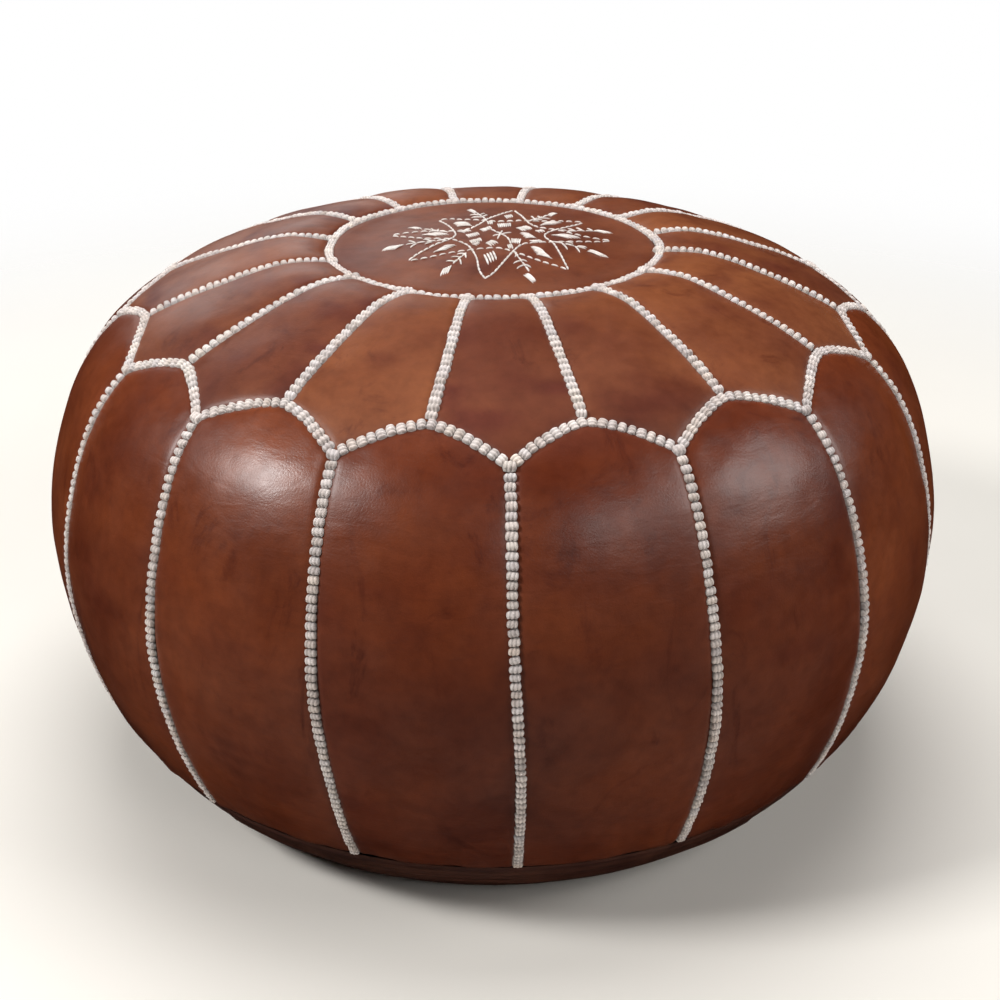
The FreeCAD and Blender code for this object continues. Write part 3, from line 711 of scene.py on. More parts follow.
def leather_material(name, base, rough=0.40, spec=0.5, coat=0.12, wear=1.0):
    m, nt, b = new_mat(name)
    tc = nt.nodes.new("ShaderNodeTexCoord")
    vec = tc.outputs["Object"]
    tone = nt.nodes.new("ShaderNodeAttribute")
    tone.attribute_name = "tone"
    # dye: mottled clouds, then a fine speckle of the grain
    cloud = noise_tex(nt, vec, 16.0, 5.0, 0.62, 0.4)
    speck = noise_tex(nt, vec, 150.0, 4.0, 0.6)
    col = mix(nt, "MULTIPLY", 1.0, (*base, 1.0), tone.outputs["Color"])
    col = mix(nt, "MULTIPLY", 1.0, col, ramp(nt, cloud, [(0.30, (0.74, 0.66, 0.66)), (0.52, (1.0, 1.0, 1.0)), (0.74, (1.20, 1.22, 1.15))]))
    col = mix(nt, "MULTIPLY", 1.0, col, ramp(nt, speck, [(0.30, (0.86, 0.84, 0.84)), (0.55, (1.0, 1.0, 1.0)), (0.78, (1.10, 1.11, 1.10))]))
    # darker streaks, as dye that has soaked into the grain
    stretch = nt.nodes.new("ShaderNodeMapping")
    stretch.inputs["Scale"].default_value = (1.0, 1.0, 0.35)
    nt.links.new(vec, stretch.inputs["Vector"])
    streak = noise_tex(nt, stretch.outputs[0], 34.0, 6.0, 0.7, 1.2)
    col = mix(nt, "MULTIPLY", 1.0, col, ramp(nt, streak, [(0.28, (0.60, 0.50, 0.56)), (0.42, (0.96, 0.95, 0.96)), (0.60, (1.0, 1.0, 1.0))]))
    nt.links.new(col, b.inputs["Base Color"])
    # roughness: rubbed a little smoother where it stands proud, duller by the seams
    rub = nt.nodes.new("ShaderNodeAttribute")
    rub.attribute_name = "rub"
    rn = noise_tex(nt, vec, 28.0, 4.0, 0.6)
    rr = nt.nodes.new("ShaderNodeMapRange")
    rr.inputs["From Min"].default_value = 0.3
    rr.inputs["From Max"].default_value = 0.7
    rr.inputs["To Min"].default_value = rough - 0.07
    rr.inputs["To Max"].default_value = rough + 0.08
    nt.links.new(rn, rr.inputs["Value"])
    dull = math_node(nt, "MULTIPLY", math_node(nt, "SUBTRACT", 1.0, rub.outputs["Fac"]), 0.12 * wear)
    nt.links.new(math_node(nt, "ADD", rr.outputs[0], dull, True), b.inputs["Roughness"])
    b.inputs["Specular IOR Level"].default_value = spec
    b.inputs["Coat Weight"].default_value = coat
    b.inputs["Coat Roughness"].default_value = 0.34
    # grain: pebbles, pores and hair-fine creases
    vor = nt.nodes.new("ShaderNodeTexVoronoi")
    vor.feature = "DISTANCE_TO_EDGE"
    vor.inputs["Scale"].default_value = 520.0
    warp = mix(nt, "ADD", 0.006, vec, noise_color(nt, vec, 60.0))
    nt.links.new(warp, vor.inputs["Vector"])
    peb = math_node(nt, "MULTIPLY", math_node(nt, "MINIMUM", vor.outputs["Distance"], 0.22), 1.6)
    fine = noise_tex(nt, vec, 900.0, 3.0, 0.6)
    crease = nt.nodes.new("ShaderNodeTexVoronoi")
    crease.feature = "DISTANCE_TO_EDGE"
    crease.inputs["Scale"].default_value = 62.0
    warp2 = mix(nt, "ADD", 0.03, vec, noise_color(nt, vec, 22.0))
    nt.links.new(warp2, crease.inputs["Vector"])
    cr = math_node(nt, "MULTIPLY", math_node(nt, "MINIMUM", crease.outputs["Distance"], 0.05), 5.0)
    level = nt.nodes.new("ShaderNodeMapping")
    level.inputs["Scale"].default_value = (1.0, 1.0, 3.2)
    nt.links.new(vec, level.inputs["Vector"])
    soft = noise_tex(nt, level.outputs[0], 48.0, 4.0, 0.5, 0.5)
    h = math_node(nt, "ADD", math_node(nt, "MULTIPLY", peb, 0.16), math_node(nt, "MULTIPLY", fine, 0.16))
    h = math_node(nt, "ADD", h, math_node(nt, "MULTIPLY", cr, 0.10))
    h = math_node(nt, "ADD", h, math_node(nt, "MULTIPLY", soft, 1.0))
    bump = nt.nodes.new("ShaderNodeBump")
    bump.inputs["Strength"].default_value = 0.24
    bump.inputs["Distance"].default_value = 0.0012
    nt.links.new(h, bump.inputs["Height"])
    nt.links.new(bump.outputs[0], b.inputs["Normal"])
    return m


def noise_color(nt, vec, scale):
    n = nt.nodes.new("ShaderNodeTexNoise")
    n.inputs["Scale"].default_value = scale
    n.inputs["Detail"].default_value = 2.0
    nt.links.new(vec, n.inputs["Vector"])
    return n.outputs["Color"]


def thread_material(name, base, rough=0.75, strand=900.0, sheen=0.25, strength=0.6):
    m, nt, b = new_mat(name)
    tc = nt.nodes.new("ShaderNodeTexCoord")
    vec = tc.outputs["Object"]
    tone = nt.nodes.new("ShaderNodeAttribute")
    tone.attribute_name = "tone"
    n1 = noise_tex(nt, vec, 220.0, 4.0, 0.6)
    n2 = noise_tex(nt, vec, 30.0, 3.0, 0.6)
    col = mix(nt, "MULTIPLY", 1.0, (*base, 1.0), tone.outputs["Color"])
    col = mix(nt, "MULTIPLY", 1.0, col, ramp(nt, n1, [(0.32, (0.74, 0.70, 0.68)), (0.55, (1.0, 1.0, 1.0)), (0.8, (1.06, 1.05, 1.04))]))
    col = mix(nt, "MULTIPLY", 1.0, col, ramp(nt, n2, [(0.3, (0.90, 0.86, 0.85)), (0.6, (1.0, 1.0, 1.0)), (0.8, (1.0, 1.02, 0.98))]))
    nt.links.new(col, b.inputs["Base Color"])
    b.inputs["Roughness"].default_value = rough
    b.inputs["Specular IOR Level"].default_value = 0.35
    b.inputs["Sheen Weight"].default_value = sheen
    b.inputs["Sheen Roughness"].default_value = 0.5
    w = nt.nodes.new("ShaderNodeTexWave")
    w.wave_type = "BANDS"
    w.bands_direction = "DIAGONAL"
    w.inputs["Scale"].default_value = strand
    w.inputs["Distortion"].default_value = 3.0
    w.inputs["Detail"].default_value = 2.0
    nt.links.new(vec, w.inputs["Vector"])
    n3 = noise_tex(nt, vec, 1400.0, 2.0, 0.6)
    h = math_node(nt, "ADD", w.outputs["Fac"], n3)
    bump = nt.nodes.new("ShaderNodeBump")
    bump.inputs["Strength"].default_value = strength
    bump.inputs["Distance"].default_value = 0.0003
    nt.links.new(h, bump.inputs["Height"])
    nt.links.new(bump.outputs[0], b.inputs["Normal"])
    return m


def metal_material(name, base):
    m, nt, b = new_mat(name)
    tc = nt.nodes.new("ShaderNodeTexCoord")
    vec = tc.outputs["Object"]
    n1 = noise_tex(nt, vec, 300.0, 5.0, 0.65)
    col = mix(nt, "MULTIPLY", 1.0, (*base, 1.0), ramp(nt, n1, [(0.3, (0.70, 0.66, 0.60)), (0.55, (1.0, 1.0, 1.0)), (0.8, (1.10, 1.08, 1.04))]))
    nt.links.new(col, b.inputs["Base Color"])
    b.inputs["Metallic"].default_value = 1.0
    rr = nt.nodes.new("ShaderNodeMapRange")
    rr.inputs["To Min"].default_value = 0.28
    rr.inputs["To Max"].default_value = 0.52
    nt.links.new(n1, rr.inputs["Value"])
    nt.links.new(rr.outputs[0], b.inputs["Roughness"])
    bump = nt.nodes.new("ShaderNodeBump")
    bump.inputs["Strength"].default_value = 0.25
    bump.inputs["Distance"].default_value = 0.0001
    nt.links.new(noise_tex(nt, vec, 1500.0, 3.0, 0.6), bump.inputs["Height"])
    nt.links.new(bump.outputs[0], b.inputs["Normal"])
    return m


def tape_material(name, base):
    m, nt, b = new_mat(name)
    tc = nt.nodes.new("ShaderNodeTexCoord")
    vec = tc.outputs["Object"]
    wv = []
    for axis in ("X", "Y"):
        w = nt.nodes.new("ShaderNodeTexWave")
        w.wave_type = "BANDS"
        w.bands_direction = axis
        w.inputs["Scale"].default_value = 260.0
        w.inputs["Distortion"].default_value = 0.6
        nt.links.new(vec, w.inputs["Vector"])
        wv.append(w.outputs["Fac"])
    weave = math_node(nt, "MULTIPLY", wv[0], wv[1])
    n1 = noise_tex(nt, vec, 120.0, 4.0, 0.6)
    col = mix(nt, "MULTIPLY", 1.0, (*base, 1.0), ramp(nt, weave, [(0.0, (0.55, 0.55, 0.55)), (0.5, (1.0, 1.0, 1.0)), (1.0, (1.3, 1.3, 1.3))]))
    col = mix(nt, "MULTIPLY", 1.0, col, ramp(nt, n1, [(0.3, (0.8, 0.8, 0.8)), (0.6, (1.0, 1.0, 1.0)), (0.8, (1.15, 1.12, 1.1))]))
    nt.links.new(col, b.inputs["Base Color"])
    b.inputs["Roughness"].default_value = 0.85
    bump = nt.nodes.new("ShaderNodeBump")
    bump.inputs["Strength"].default_value = 0.6
    bump.inputs["Distance"].default_value = 0.0003
    nt.links.new(weave, bump.inputs["Height"])
    nt.links.new(bump.outputs[0], b.inputs["Normal"])
    return m


BASE = (0.215, 0.061, 0.0265)
BASE_SIDE = (0.182, 0.038, 0.0130)
MAT["upper"] = leather_material("leather_upper", BASE, 0.42, 0.45, 0.09)
MAT["side"] = leather_material("leather_side", BASE_SIDE, 0.35, 0.46, 0.16)
MAT["medallion"] = leather_material("leather_medallion", (0.185, 0.050, 0.0225), 0.46, 0.42, 0.05)
# painted shade: the base leather, also used on the welt, is coloured darker than the panels for the shadow at the foot
MAT["base"] = leather_material("leather_base", (0.105, 0.032, 0.016), 0.55, 0.30, 0.0)
MAT["braid"] = thread_material("braid_thread", (0.93, 0.845, 0.80), 0.8, 900.0, 0.2, 0.6)
MAT["silk"] = thread_material("embroidery_thread", (0.92, 0.87, 0.82), 0.6, 1200.0, 0.3, 0.4)
MAT["brass"] = metal_material("aged_brass", (0.62, 0.47, 0.24))
MAT["tape"] = tape_material("zip_tape", (0.035, 0.018, 0.012))

# ------------------------------------------------------------------ build
for i in range(N):
    upper_panel(i)
for i in range(N):
    side_panel(i)
surf = build_medallion()
build_base(-1.0, "base_panel_front")
build_base(+1.0, "base_panel_back")
for ob in leather_pieces:
    kind = "upper" if "upper" in ob.name else "side" if "side" in ob.name else "medallion" if "medallion" in ob.name else "base"
    ob.data.materials.append(MAT[kind])
    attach(ob, "root")


def const(v):
    return lambda s: v


def ring_fn(s):
    wob = 0.25 * np.sin(s * 2 * np.pi * 3 + 0.7) + 0.15 * np.sin(s * 2 * np.pi * 7)
    return T_RIM + wob, s * 360.0


braid_piece("braid_medallion", "medallion_braid",
            [(ring_fn, const(4.7), 0.0, 0.0, lambda s: 5.6 + 0 * s, lambda s: 0.98 + 0 * s)], 11,
            knots=[(T_RIM, p, 0.3 + i, 1.02) for i, p in enumerate(RIM_PHI)])

runs = []
for i in range(N):
    def fn(s, i=i):
        v = s
        bend = 1.2 * np.sin(s * np.pi) * (1 if i % 2 else -1) * 0.6
        return lerp(T_RIM, T_PEAK, v), lerp(RIM_PHI[i], PEAK_PHI[i], v) + bend * 0.4
    runs.append((fn, const(4.6), 3.4, 3.2, lambda s: 5.9 + 0.5 * s, lambda s: 0.98 + 0 * s))
braid_piece("braid_upper_seams", "upper_seam_braids", runs, 12)

runs = []
for i in range(N):
    def fn(s, i=i):
        u = s * 2 - 1
        w = 1 - np.abs(u)
        a, p, b = wrap(VALLEY_PHI, i), wrap(PEAK_PHI, i + 1), wrap(VALLEY_PHI, i + 1)
        phi = np.where(u < 0, lerp(p, a, np.abs(u)), lerp(p, b, np.abs(u)))
        return T_VALLEY + (T_PEAK - T_VALLEY) * arch(w), phi
    runs.append((fn, const(5.0), 2.6, 2.6, lambda s: 6.4 + 0 * s, lambda s: 1.0 + 0 * s))
braid_piece("braid_arches", "arch_braids", runs, 13,
            knots=[(T_VALLEY, p, 1.57, 1.12) for p in VALLEY_PHI])

runs = []
for i in range(N):
    def fn(s, i=i):
        sway = 0.35 * np.sin(s * np.pi * 2 + i)
        return lerp(T_VALLEY, T_BASE + 0.6, s), lerp(VALLEY_PHI[i], BASE_PHI[i], s) + sway * np.sin(s * np.pi)
    runs.append((fn, lambda s: 4.8 - 1.5 * s**1.6, 3.2, 0.0,
                 lambda s: 6.3 - 0.7 * s + 0 * s, lambda s: 0.98 - 0.20 * s))
braid_piece("braid_side_seams", "side_seam_braids", runs, 14)

# welt in the base seam
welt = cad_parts["base_welt"]
welt.data.materials.clear()
welt.data.materials.append(MAT["base"])


# ------------------------------------------------------------------ embroidery
def thread_mesh(name, node_name, segs, seed):
    """segs: (x0, y0, x1, y1, radius, lift) stitches on the medallion, each a rounded strand that dips in at both ends."""
    rng = np.random.default_rng(seed)
    segs = np.array(segs, float)
    k, nl, nr = len(segs), 7, 7
    s = np.linspace(0, 1, nl)
    ring = np.linspace(0, 2 * np.pi, nr + 1)[:-1]
    p0, p1 = segs[:, 0:2], segs[:, 2:4]
    rad, lift = segs[:, 4], segs[:, 5]
    d = p1 - p0
    L = np.maximum(np.hypot(d[:, 0], d[:, 1]), 1e-6)
    d = d / L[:, None]
    n = np.stack([-d[:, 1], d[:, 0]], -1)
    prof = np.sqrt(np.clip(1 - np.abs(2 * s - 1) ** 3.5, 0, 1)) * 0.80 + 0.20
    c = p0[:, None, :] + (p1 - p0)[:, None, :] * s[None, :, None]
    z = top_z(surf, c[..., 0], c[..., 1]) + lift[:, None] * np.sin(np.pi * s)[None, :] ** 0.5 + rad[:, None] * 0.35 - 0.25
    r = rad[:, None] * prof[None, :] * (1 + rng.normal(0, 0.05, (k, 1)))
    vx = c[..., 0][..., None] + n[:, 0][:, None, None] * np.cos(ring) * r[..., None]
    vy = c[..., 1][..., None] + n[:, 1][:, None, None] * np.cos(ring) * r[..., None]
    vz = z[..., None] + np.sin(ring) * r[..., None] * 0.85
    body = np.stack([vx, vy, vz], -1).reshape(k, nl * nr, 3)
    ends = np.stack([np.concatenate([p0, (z[:, 0] - 0.2)[:, None]], -1), np.concatenate([p1, (z[:, -1] - 0.2)[:, None]], -1)], 1)
    V = np.concatenate([body, ends], 1)
    nv = V.shape[1]
    i, j = np.meshgrid(np.arange(nl - 1), np.arange(nr), indexing="ij")
    jn = (j + 1) % nr
    q = np.stack([i * nr + j, (i + 1) * nr + j, (i + 1) * nr + jn, i * nr + jn], -1).reshape(-1, 4)
    jj = np.arange(nr)
    t0 = np.stack([0 * jj + nl * nr, jj, (jj + 1) % nr], -1)
    t1 = np.stack([0 * jj + nl * nr + 1, (nl - 1) * nr + (jj + 1) % nr, (nl - 1) * nr + jj], -1)
    st = np.arange(k)[:, None, None] * nv
    Q = (q[None] + st).reshape(-1, 4)
    T = (np.concatenate([t0, t1])[None] + st).reshape(-1, 3)
    sh = 1 + rng.normal(0, 0.06, k)
    col = np.broadcast_to(sh[:, None, None], (k, nv, 3))
    ob = make_mesh(name, V.reshape(-1, 3), quads=Q, tris=T, colors=col.reshape(-1, 3))
    ob.data.materials.append(MAT["silk"])
    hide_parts(node_name)
    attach(ob, "root")
    return ob


# stitched outline of the star: solid (1) or running stitch (0), points on the medallion in mm
STAR_LINES = [
    (1, ((-4.4, -69.4), (0.7, -61.1), (6.8, -43.7), (11.7, -29.2), (16.2, -17.7), (20.7, -13.7))),
    (0, ((20.7, -13.7), (27.5, -11.9), (34.9, -10.0), (41.4, -7.9), (50.4, -4.4), (60.5, -1.1), (69.9, 2.9))),
    (0, ((70.2, 4.3), (62.9, 6.0), (55.0, 7.3), (46.2, 12.1), (40.4, 16.0), (34.4, 17.9), (27.5, 20.2))),
    (1, ((27.5, 20.2), (22.6, 27.6), (20.2, 37.6), (17.4, 52.7), (13.8, 69.0))),
    (1, ((12.7, 69.5), (6.5, 58.6), (-0.3, 45.4), (-4.9, 34.9), (-8.9, 24.9), (-13.3, 16.3))),
    (0, ((-13.3, 16.3), (-19.8, 10.7), (-25.8, 10.5), (-33.8, 11.9), (-40.8, 12.8), (-50.9, 12.8), (-60.7, 12.3))),
    (0, ((-60.7, 10.2), (-53.5, 5.3), (-46.3, 0.8), (-40.2, -2.8), (-33.2, -4.9), (-25.3, -6.5), (-20.3, -11.1))),
    (1, ((-20.3, -11.1), (-15.8, -16.8), (-12.8, -24.0), (-9.3, -40.8), (-7.7, -58.4), (-4.4, -69.4))),
    (1, ((42.3, -52.4), (40.1, -38.9), (37.8, -24.4), (35.3, -12.2), (32.6, -5.9), (30.4, 0.6), (32.1, 7.8), (37.4, 16.4), (43.8, 24.1), (50.3, 33.1), (55.4, 41.5))),
    (0, ((55.3, 43.6), (47.7, 43.0), (40.4, 40.6), (32.0, 37.4), (24.8, 35.9), (17.6, 35.4), (11.5, 33.8), (5.3, 32.8), (0.2, 32.8), (-4.9, 34.9), (-9.0, 36.6), (-14.2, 38.1), (-20.4, 39.7), (-26.6, 44.1), (-33.0, 43.5))),
    (1, ((-33.3, 41.0), (-27.1, 24.1), (-23.8, 12.5), (-22.1, 1.7), (-24.4, -5.6), (-29.1, -11.2), (-34.7, -17.0), (-42.1, -27.0), (-48.1, -38.0))),
    (0, ((-47.7, -38.6), (-41.6, -37.3), (-34.1, -34.6), (-27.5, -31.6), (-20.9, -29.4), (-14.2, -27.0), (-9.4, -25.4), (-3.6, -24.2), (2.1, -23.3), (7.9, -26.3), (11.7, -30.7), (16.4, -34.0), (21.1, -38.4), (26.7, -42.8), (32.2, -46.6), (37.7, -49.4), (41.6, -53.0))),
]
# stems of the eight sprays and the threads that cross in the middle
STEMS = [
    ((-22.6, -47.8), (-15.1, -31.4)),
    ((20.2, -58.0), (12.6, -32.1)),
    ((54.6, -16.4), (45.1, -12.7), (35.4, -9.3)),
    ((61.5, 22.9), (50.6, 19.4), (39.4, 15.5)),
    ((34.3, 58.9), (28.2, 46.9), (22.2, 34.9)),
    ((-10.3, 61.6), (-7.0, 48.6), (-3.9, 34.8)),
    ((-41.9, 18.9), (-33.8, 12.7), (-26.7, 8.4)),
    ((-51.4, -10.8), (-39.9, -9.4), (-27.2, -8.0)),
    ((-1.3, 14.1), (5.2, 2.7), (9.1, -4.4), (10.4, -15.4)),
    ((2.7, -6.5), (4.0, 2.4), (5.7, 10.9)),
    ((-0.3, -0.8), (4.2, 2.4)),
    ((4.2, 2.4), (11.2, 7.4)),
]
# short side stitches of the sprays
BARBS = [
    ((-26.7, -43.4), (-21.5, -45.1)),
    ((-24.0, -37.3), (-18.6, -38.5)),
    ((-17.9, -49.6), (-18.9, -40.7)),
    ((-15.4, -39.8), (-16.0, -32.3)),
    ((-20.8, -33.2), (-15.5, -33.5)),
    ((11.5, -47.7), (15.6, -43.7)),
    ((13.3, -54.9), (17.6, -49.4)),
    ((15.5, -42.0), (19.5, -44.6)),
    ((17.6, -48.8), (21.5, -52.7)),
    ((12.5, -37.9), (14.5, -34.1)),
    ((40.3, -10.7), (43.4, -20.8)),
    ((47.8, -13.0), (50.4, -23.8)),
    ((49.0, -13.1), (55.3, -13.5)),
    ((42.4, -7.2), (47.2, -9.2)),
    ((45.2, 23.1), (49.6, 18.5)),
    ((50.5, 27.1), (54.7, 20.1)),
    ((57.2, 28.3), (60.9, 22.8)),
    ((44.3, 14.0), (50.6, 18.3)),
    ((23.7, 53.1), (25.8, 41.9)),
    ((27.7, 54.4), (29.5, 49.2)),
    ((27.1, 45.5), (36.0, 48.2)),
    ((24.4, 39.2), (31.1, 41.6)),
    ((-14.7, 54.8), (-8.6, 53.1)),
    ((-13.7, 45.3), (-6.5, 45.1)),
    ((-7.9, 55.0), (-4.8, 59.1)),
    ((-6.5, 46.8), (-3.3, 53.9)),
    ((-37.6, 19.4), (-35.6, 12.9)),
    ((-32.8, 17.0), (-33.3, 11.2)),
    ((-38.7, 10.3), (-35.3, 12.8)),
    ((-50.2, -3.4), (-45.3, -9.7)),
    ((-48.3, -17.3), (-44.9, -11.4)),
    ((-41.3, -4.0), (-35.8, -9.2)),
    ((-39.9, -13.6), (-35.6, -10.6)),
]
# blocks of satin stitch: d is a diamond of the star, l is the tip of a spray; threads run from the first corner to the last
BLOCKS = [
    ("d", ((-21.5, 21.7), (-24.6, 31.8), (-15.1, 31.9), (-12.1, 22.3))),
    ("d", ((6.5, 49.9), (11.2, 54.6), (12.9, 47.0), (8.4, 40.0))),
    ("d", ((28.1, 24.9), (32.0, 35.8), (42.9, 38.0), (36.9, 29.0))),
    ("d", ((34.0, 4.5), (41.1, 8.8), (53.3, 3.5), (44.7, -0.1))),
    ("d", ((21.5, -19.0), (25.0, -33.5), (34.1, -38.9), (28.6, -23.8))),
    ("d", ((-35.1, -28.6), (-28.9, -18.5), (-20.7, -17.5), (-27.2, -25.4))),
    ("d", ((-43.5, 5.6), (-35.7, 9.3), (-24.9, 2.6), (-33.9, 1.0))),
    ("d", ((-3.9, 32.8), (0.0, 35.6), (0.0, 26.7), (-3.3, 26.0))),
    ("d", ((2.2, 26.8), (10.9, 28.9), (11.1, 21.1), (3.2, 18.3))),
    ("d", ((13.3, 17.4), (19.4, 22.7), (24.3, 16.2), (17.7, 9.5))),
    ("d", ((-8.3, 13.5), (-2.3, 20.9), (-0.3, 15.3), (-5.8, 8.7))),
    ("d", ((-16.6, 1.4), (-9.7, 7.4), (-7.4, 1.7), (-14.5, -4.8))),
    ("d", ((15.6, 6.6), (19.4, -4.6), (26.3, -4.1), (22.0, 4.5))),
    ("d", ((-14.5, -10.5), (-7.7, -5.1), (-6.1, -10.7), (-12.4, -16.0))),
    ("d", ((-4.7, -15.5), (-1.7, -9.1), (3.6, -14.0), (-1.2, -21.2))),
    ("d", ((10.5, -6.3), (16.9, -5.4), (15.8, -15.2), (10.9, -13.8))),
    ("d", ((-21.2, 8.7), (-17.8, 12.8), (-12.3, 11.1), (-17.7, 5.6))),
    ("d", ((24.7, 11.8), (28.3, 14.7), (32.2, 11.4), (27.1, 8.4))),
    ("d", ((8.0, -18.6), (10.9, -15.4), (12.0, -24.7), (8.9, -24.2))),
    ("d", ((-12.9, -17.2), (-9.5, -14.2), (-7.1, -14.2), (-9.5, -20.5))),
    ("d", ((20.3, -8.5), (26.7, -7.4), (30.0, -11.1), (24.1, -13.2))),
    ("l", ((-29.8, -65.2), (-24.8, -60.9), (-22.8, -49.4), (-27.8, -53.6))),
    ("l", ((16.6, -63.9), (19.2, -59.9), (24.0, -71.1), (21.9, -75.6))),
    ("l", ((54.4, -20.2), (56.6, -15.5), (67.1, -28.4), (62.2, -27.2))),
    ("l", ((60.4, 22.7), (62.2, 26.6), (74.1, 21.9), (66.8, 20.3))),
    ("l", ((34.0, 59.8), (36.3, 55.5), (41.2, 65.6), (38.8, 67.2))),
    ("l", ((-17.3, 71.8), (-14.7, 74.6), (-10.0, 64.0), (-11.3, 57.9))),
    ("l", ((-52.8, 26.3), (-48.4, 27.1), (-42.1, 18.9), (-47.3, 21.2))),
    ("l", ((-65.6, -17.7), (-57.1, -17.0), (-51.5, -9.9), (-60.4, -10.4))),
]
# the four separate thick threads in the front tip
FRONT_THREADS = [
    ((-5.2, -34.3), (-2.6, -50.5)),
    ((-3.6, -32.3), (-1.0, -47.3)),
    ((-1.9, -30.3), (0.4, -45.7)),
    ((-0.3, -28.2), (1.9, -42.9)),
]


def run_line(pts, seg_len, gap, rad, lift=0.35):
    """Stitches along a polyline."""
    pts = np.array(pts, float)
    L = np.concatenate([[0], np.cumsum(np.hypot(*np.diff(pts, axis=0).T))])
    n = max(1, int(round(L[-1] / (seg_len + gap))))
    step = L[-1] / n
    out = []
    for k in range(n):
        a, b = k * step + gap / 2, (k + 1) * step - gap / 2
        pa = [np.interp(a, L, pts[:, c]) for c in (0, 1)]
        pb = [np.interp(b, L, pts[:, c]) for c in (0, 1)]
        out.append((*pa, *pb, rad, lift))
    return out


def smooth_line(pts, n=40):
    """A rounded curve through the given points."""
    p = np.array(pts, float)
    p = np.concatenate([[2 * p[0] - p[1]], p, [2 * p[-1] - p[-2]]])
    out = []
    for k in range(1, len(p) - 2):
        for t in np.linspace(0, 1, 8, endpoint=False):
            a, b, c, d = p[k - 1:k + 3]
            out.append(0.5 * (2 * b + (c - a) * t + (2 * a - 5 * b + 4 * c - d) * t * t + (3 * b - a - 3 * c + d) * t**3))
    out.append(p[-2])
    return np.array(out)


def block(corners, rad, pitch, rng):
    c = np.array(corners, float)
    wide = max(np.hypot(*(c[1] - c[0])), np.hypot(*(c[2] - c[3])))
    along = np.hypot(*(c[3] - c[0]))
    direction = (c[3] - c[0]) / max(along, 1e-6)
    across = abs(np.cross(np.append(c[1] - c[0], 0), np.append(direction, 0))[2])
    n = max(3, int(round(max(across, 0.35 * wide) / pitch)))
    out = []
    for k in range(n):
        s = (k + 0.5) / n
        p, q = lerp(c[0], c[1], s), lerp(c[3], c[2], s)
        j = rng.normal(0, 0.22, 2)
        out.append((*(p + direction * j[0]), *(q + direction * j[1]), rad, 0.55))
    return out


rng = np.random.default_rng(5)
star, loz, dia = [], [], []
for solid, pts in STAR_LINES:
    line = smooth_line(pts)
    star += run_line(line, 5.0 if solid else 4.3, 0.25 if solid else 1.25, 0.62)
for pts in STEMS:
    star += run_line(pts, 6.0, 0.1, 0.58)
for p, q in BARBS:
    star.append((*p, *q, 0.55, 0.45))
for kind, c in BLOCKS:
    if kind == "d":
        dia += block(c, 0.56, 1.34, rng)
    else:
        loz += block(c, 0.52, 1.12, rng)
for p, q in FRONT_THREADS:
    dia.append((*p, *q, 0.66, 0.6))
thread_mesh("embroidery_star", "embroidered_star", star, 31)
thread_mesh("embroidery_lozenges", "embroidered_lozenges", loz, 32)
thread_mesh("embroidery_diamonds", "embroidered_diamonds", dia, 33)

# ------------------------------------------------------------------ zip under the base: CAD pieces with their finishes
for n in ("zip_slider", "zip_pull_tab", "zip_end_stops", "zip_teeth_front", "zip_teeth_back"):
    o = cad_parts[n]
    o.data.materials.clear()
    o.data.materials.append(MAT["brass"])
for n in ("zip_tape_front", "zip_tape_back"):
    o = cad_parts[n]
    o.data.materials.clear()
    o.data.materials.append(MAT["tape"])

# stuffing: inside the cover, seen only through the open zip
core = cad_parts["stuffing_core"]
core.data.materials.clear()
m, nt, b = new_mat("stuffing_cotton")
tc = nt.nodes.new("ShaderNodeTexCoord")
c = ramp(nt, noise_tex(nt, tc.outputs["Object"], 90.0, 5.0, 0.6), [(0.3, (0.55, 0.52, 0.47)), (0.7, (0.80, 0.77, 0.71))])
nt.links.new(c, b.inputs["Base Color"])
b.inputs["Roughness"].default_value = 0.9
core.data.materials.append(m)

# ------------------------------------------------------------------ floor, light, camera
bpy.ops.mesh.primitive_plane_add(size=30.0, location=(0, 0, 0))
floor = bpy.context.object
floor.name = "floor"
m, nt, b = new_mat("pale_floor")
tc = nt.nodes.new("ShaderNodeTexCoord")
c = ramp(nt, noise_tex(nt, tc.outputs["Object"], 3.0, 3.0, 0.5), [(0.3, (0.86, 0.83, 0.77)), (0.7, (0.89, 0.86, 0.80))])
nt.links.new(c, b.inputs["Base Color"])
b.inputs["Roughness"].default_value = 0.9
b.inputs["Specular IOR Level"].default_value = 0.2
# the floor fades into the plain white backdrop away from the pouf
ln = nt.nodes.new("ShaderNodeVectorMath")
ln.operation = "LENGTH"
nt.links.new(tc.outputs["Object"], ln.inputs[0])
fade = nt.nodes.new("ShaderNodeMapRange")
fade.interpolation_type = "SMOOTHERSTEP"
fade.inputs["From Min"].default_value = 0.45
fade.inputs["From Max"].default_value = 1.5
fade.inputs["To Min"].default_value = 1.0
fade.inputs["To Max"].default_value = 0.0
nt.links.new(ln.outputs["Value"], fade.inputs["Value"])
nt.links.new(fade.outputs[0], b.inputs["Alpha"])
floor.visible_glossy = False
floor.data.materials.append(m)

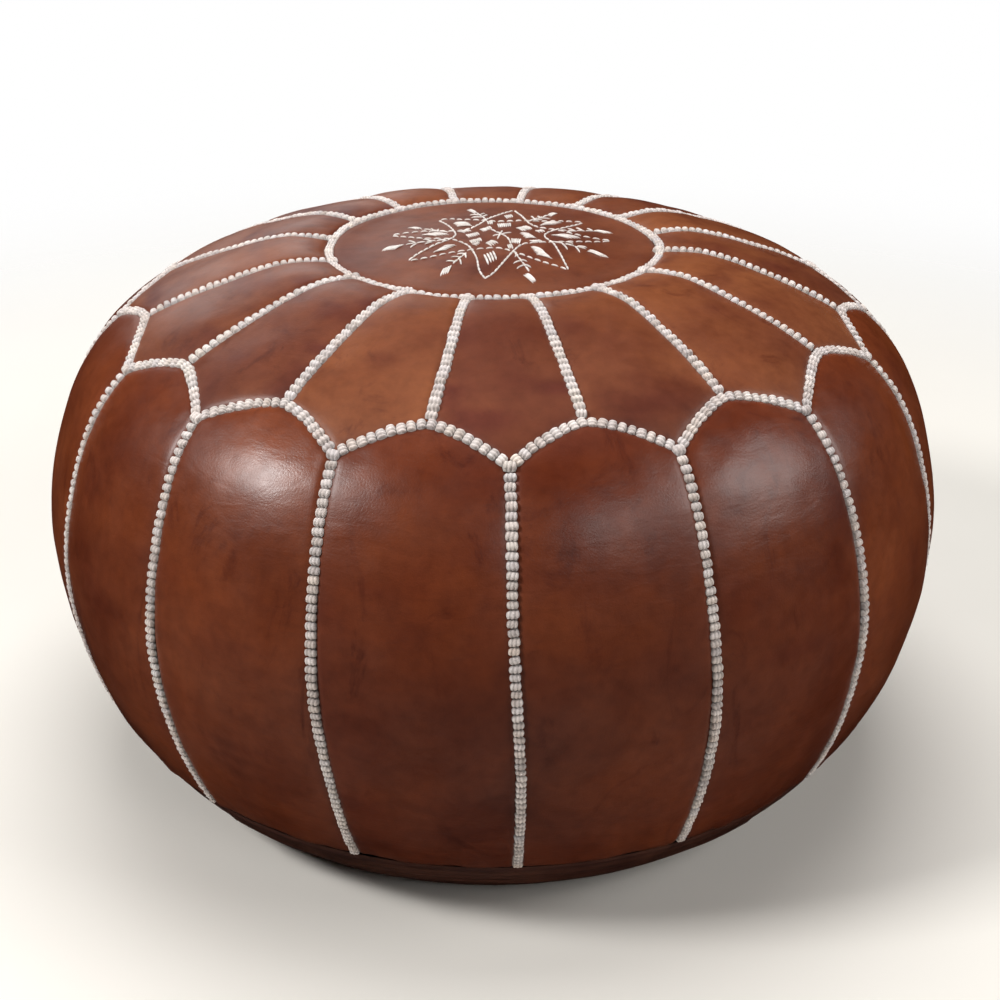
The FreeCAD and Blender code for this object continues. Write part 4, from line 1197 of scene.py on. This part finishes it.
world = bpy.data.worlds.new("world") if bpy.context.scene.world is None else bpy.context.scene.world
bpy.context.scene.world = world
world.use_nodes = True
bg = world.node_tree.nodes["Background"]
bg.inputs["Color"].default_value = (1.0, 1.0, 1.0, 1.0)
bg.inputs["Strength"].default_value = 1.0
world.cycles_visibility.diffuse = False
world.cycles_visibility.glossy = False


def area(name, az, el, dist, size, power, color=(1, 1, 1), size_y=None, target=(0, 0, 0.17)):
    """Soft light at azimuth az (0 is the front, + to the right) and elevation el, turned to the pouf."""
    l = bpy.data.lights.new(name, "AREA")
    l.shape = "RECTANGLE"
    l.size = size
    l.size_y = size_y or size
    l.energy = power
    l.color = color
    o = bpy.data.objects.new(name, l)
    a, e = math.radians(az), math.radians(el)
    o.location = (target[0] + dist * math.cos(e) * math.sin(a), target[1] - dist * math.cos(e) * math.cos(a), target[2] + dist * math.sin(e))
    d = Vector(target) - o.location
    o.rotation_euler = d.to_track_quat("-Z", "Y").to_euler()
    bpy.context.scene.collection.objects.link(o)
    return o


area("window_left", -67, 41, 2.2, 0.5, 31, (1.0, 0.99, 0.98), 0.45)
area("soft_front_right", 30, 33, 2.6, 1.0, 8.5, (1.0, 0.99, 0.98), 0.6)
area("soft_right", 74, 31, 2.4, 1.15, 20, (1.0, 0.99, 0.98), 0.9)
area("back_left", -158, 22, 2.6, 1.6, 8, (1.0, 0.99, 0.99), 0.9)
area("top", 180, 76, 2.4, 1.8, 46, (1.0, 1.0, 1.0)).visible_glossy = False

cam = bpy.data.cameras.new("camera")
cam.sensor_width = 36.0
cam.lens = 36.0 * 1465.7 / 1000.0
cam.shift_x = 0.00702
cam.clip_end = 50.0
co = bpy.data.objects.new("camera", cam)
S = 0.2741
elev = math.radians(26.697)
tz = (-0.1013 + 0.612) * S
D = 3.4573 * S
co.location = (0.0, -D * math.cos(elev), tz + D * math.sin(elev))
d = Vector((0, 0, tz)) - co.location
co.rotation_euler = d.to_track_quat("-Z", "Y").to_euler()
bpy.context.scene.collection.objects.link(co)
bpy.context.scene.camera = co
bpy.context.scene.view_settings.view_transform = "Standard"
bpy.context.scene.view_settings.look = "None"
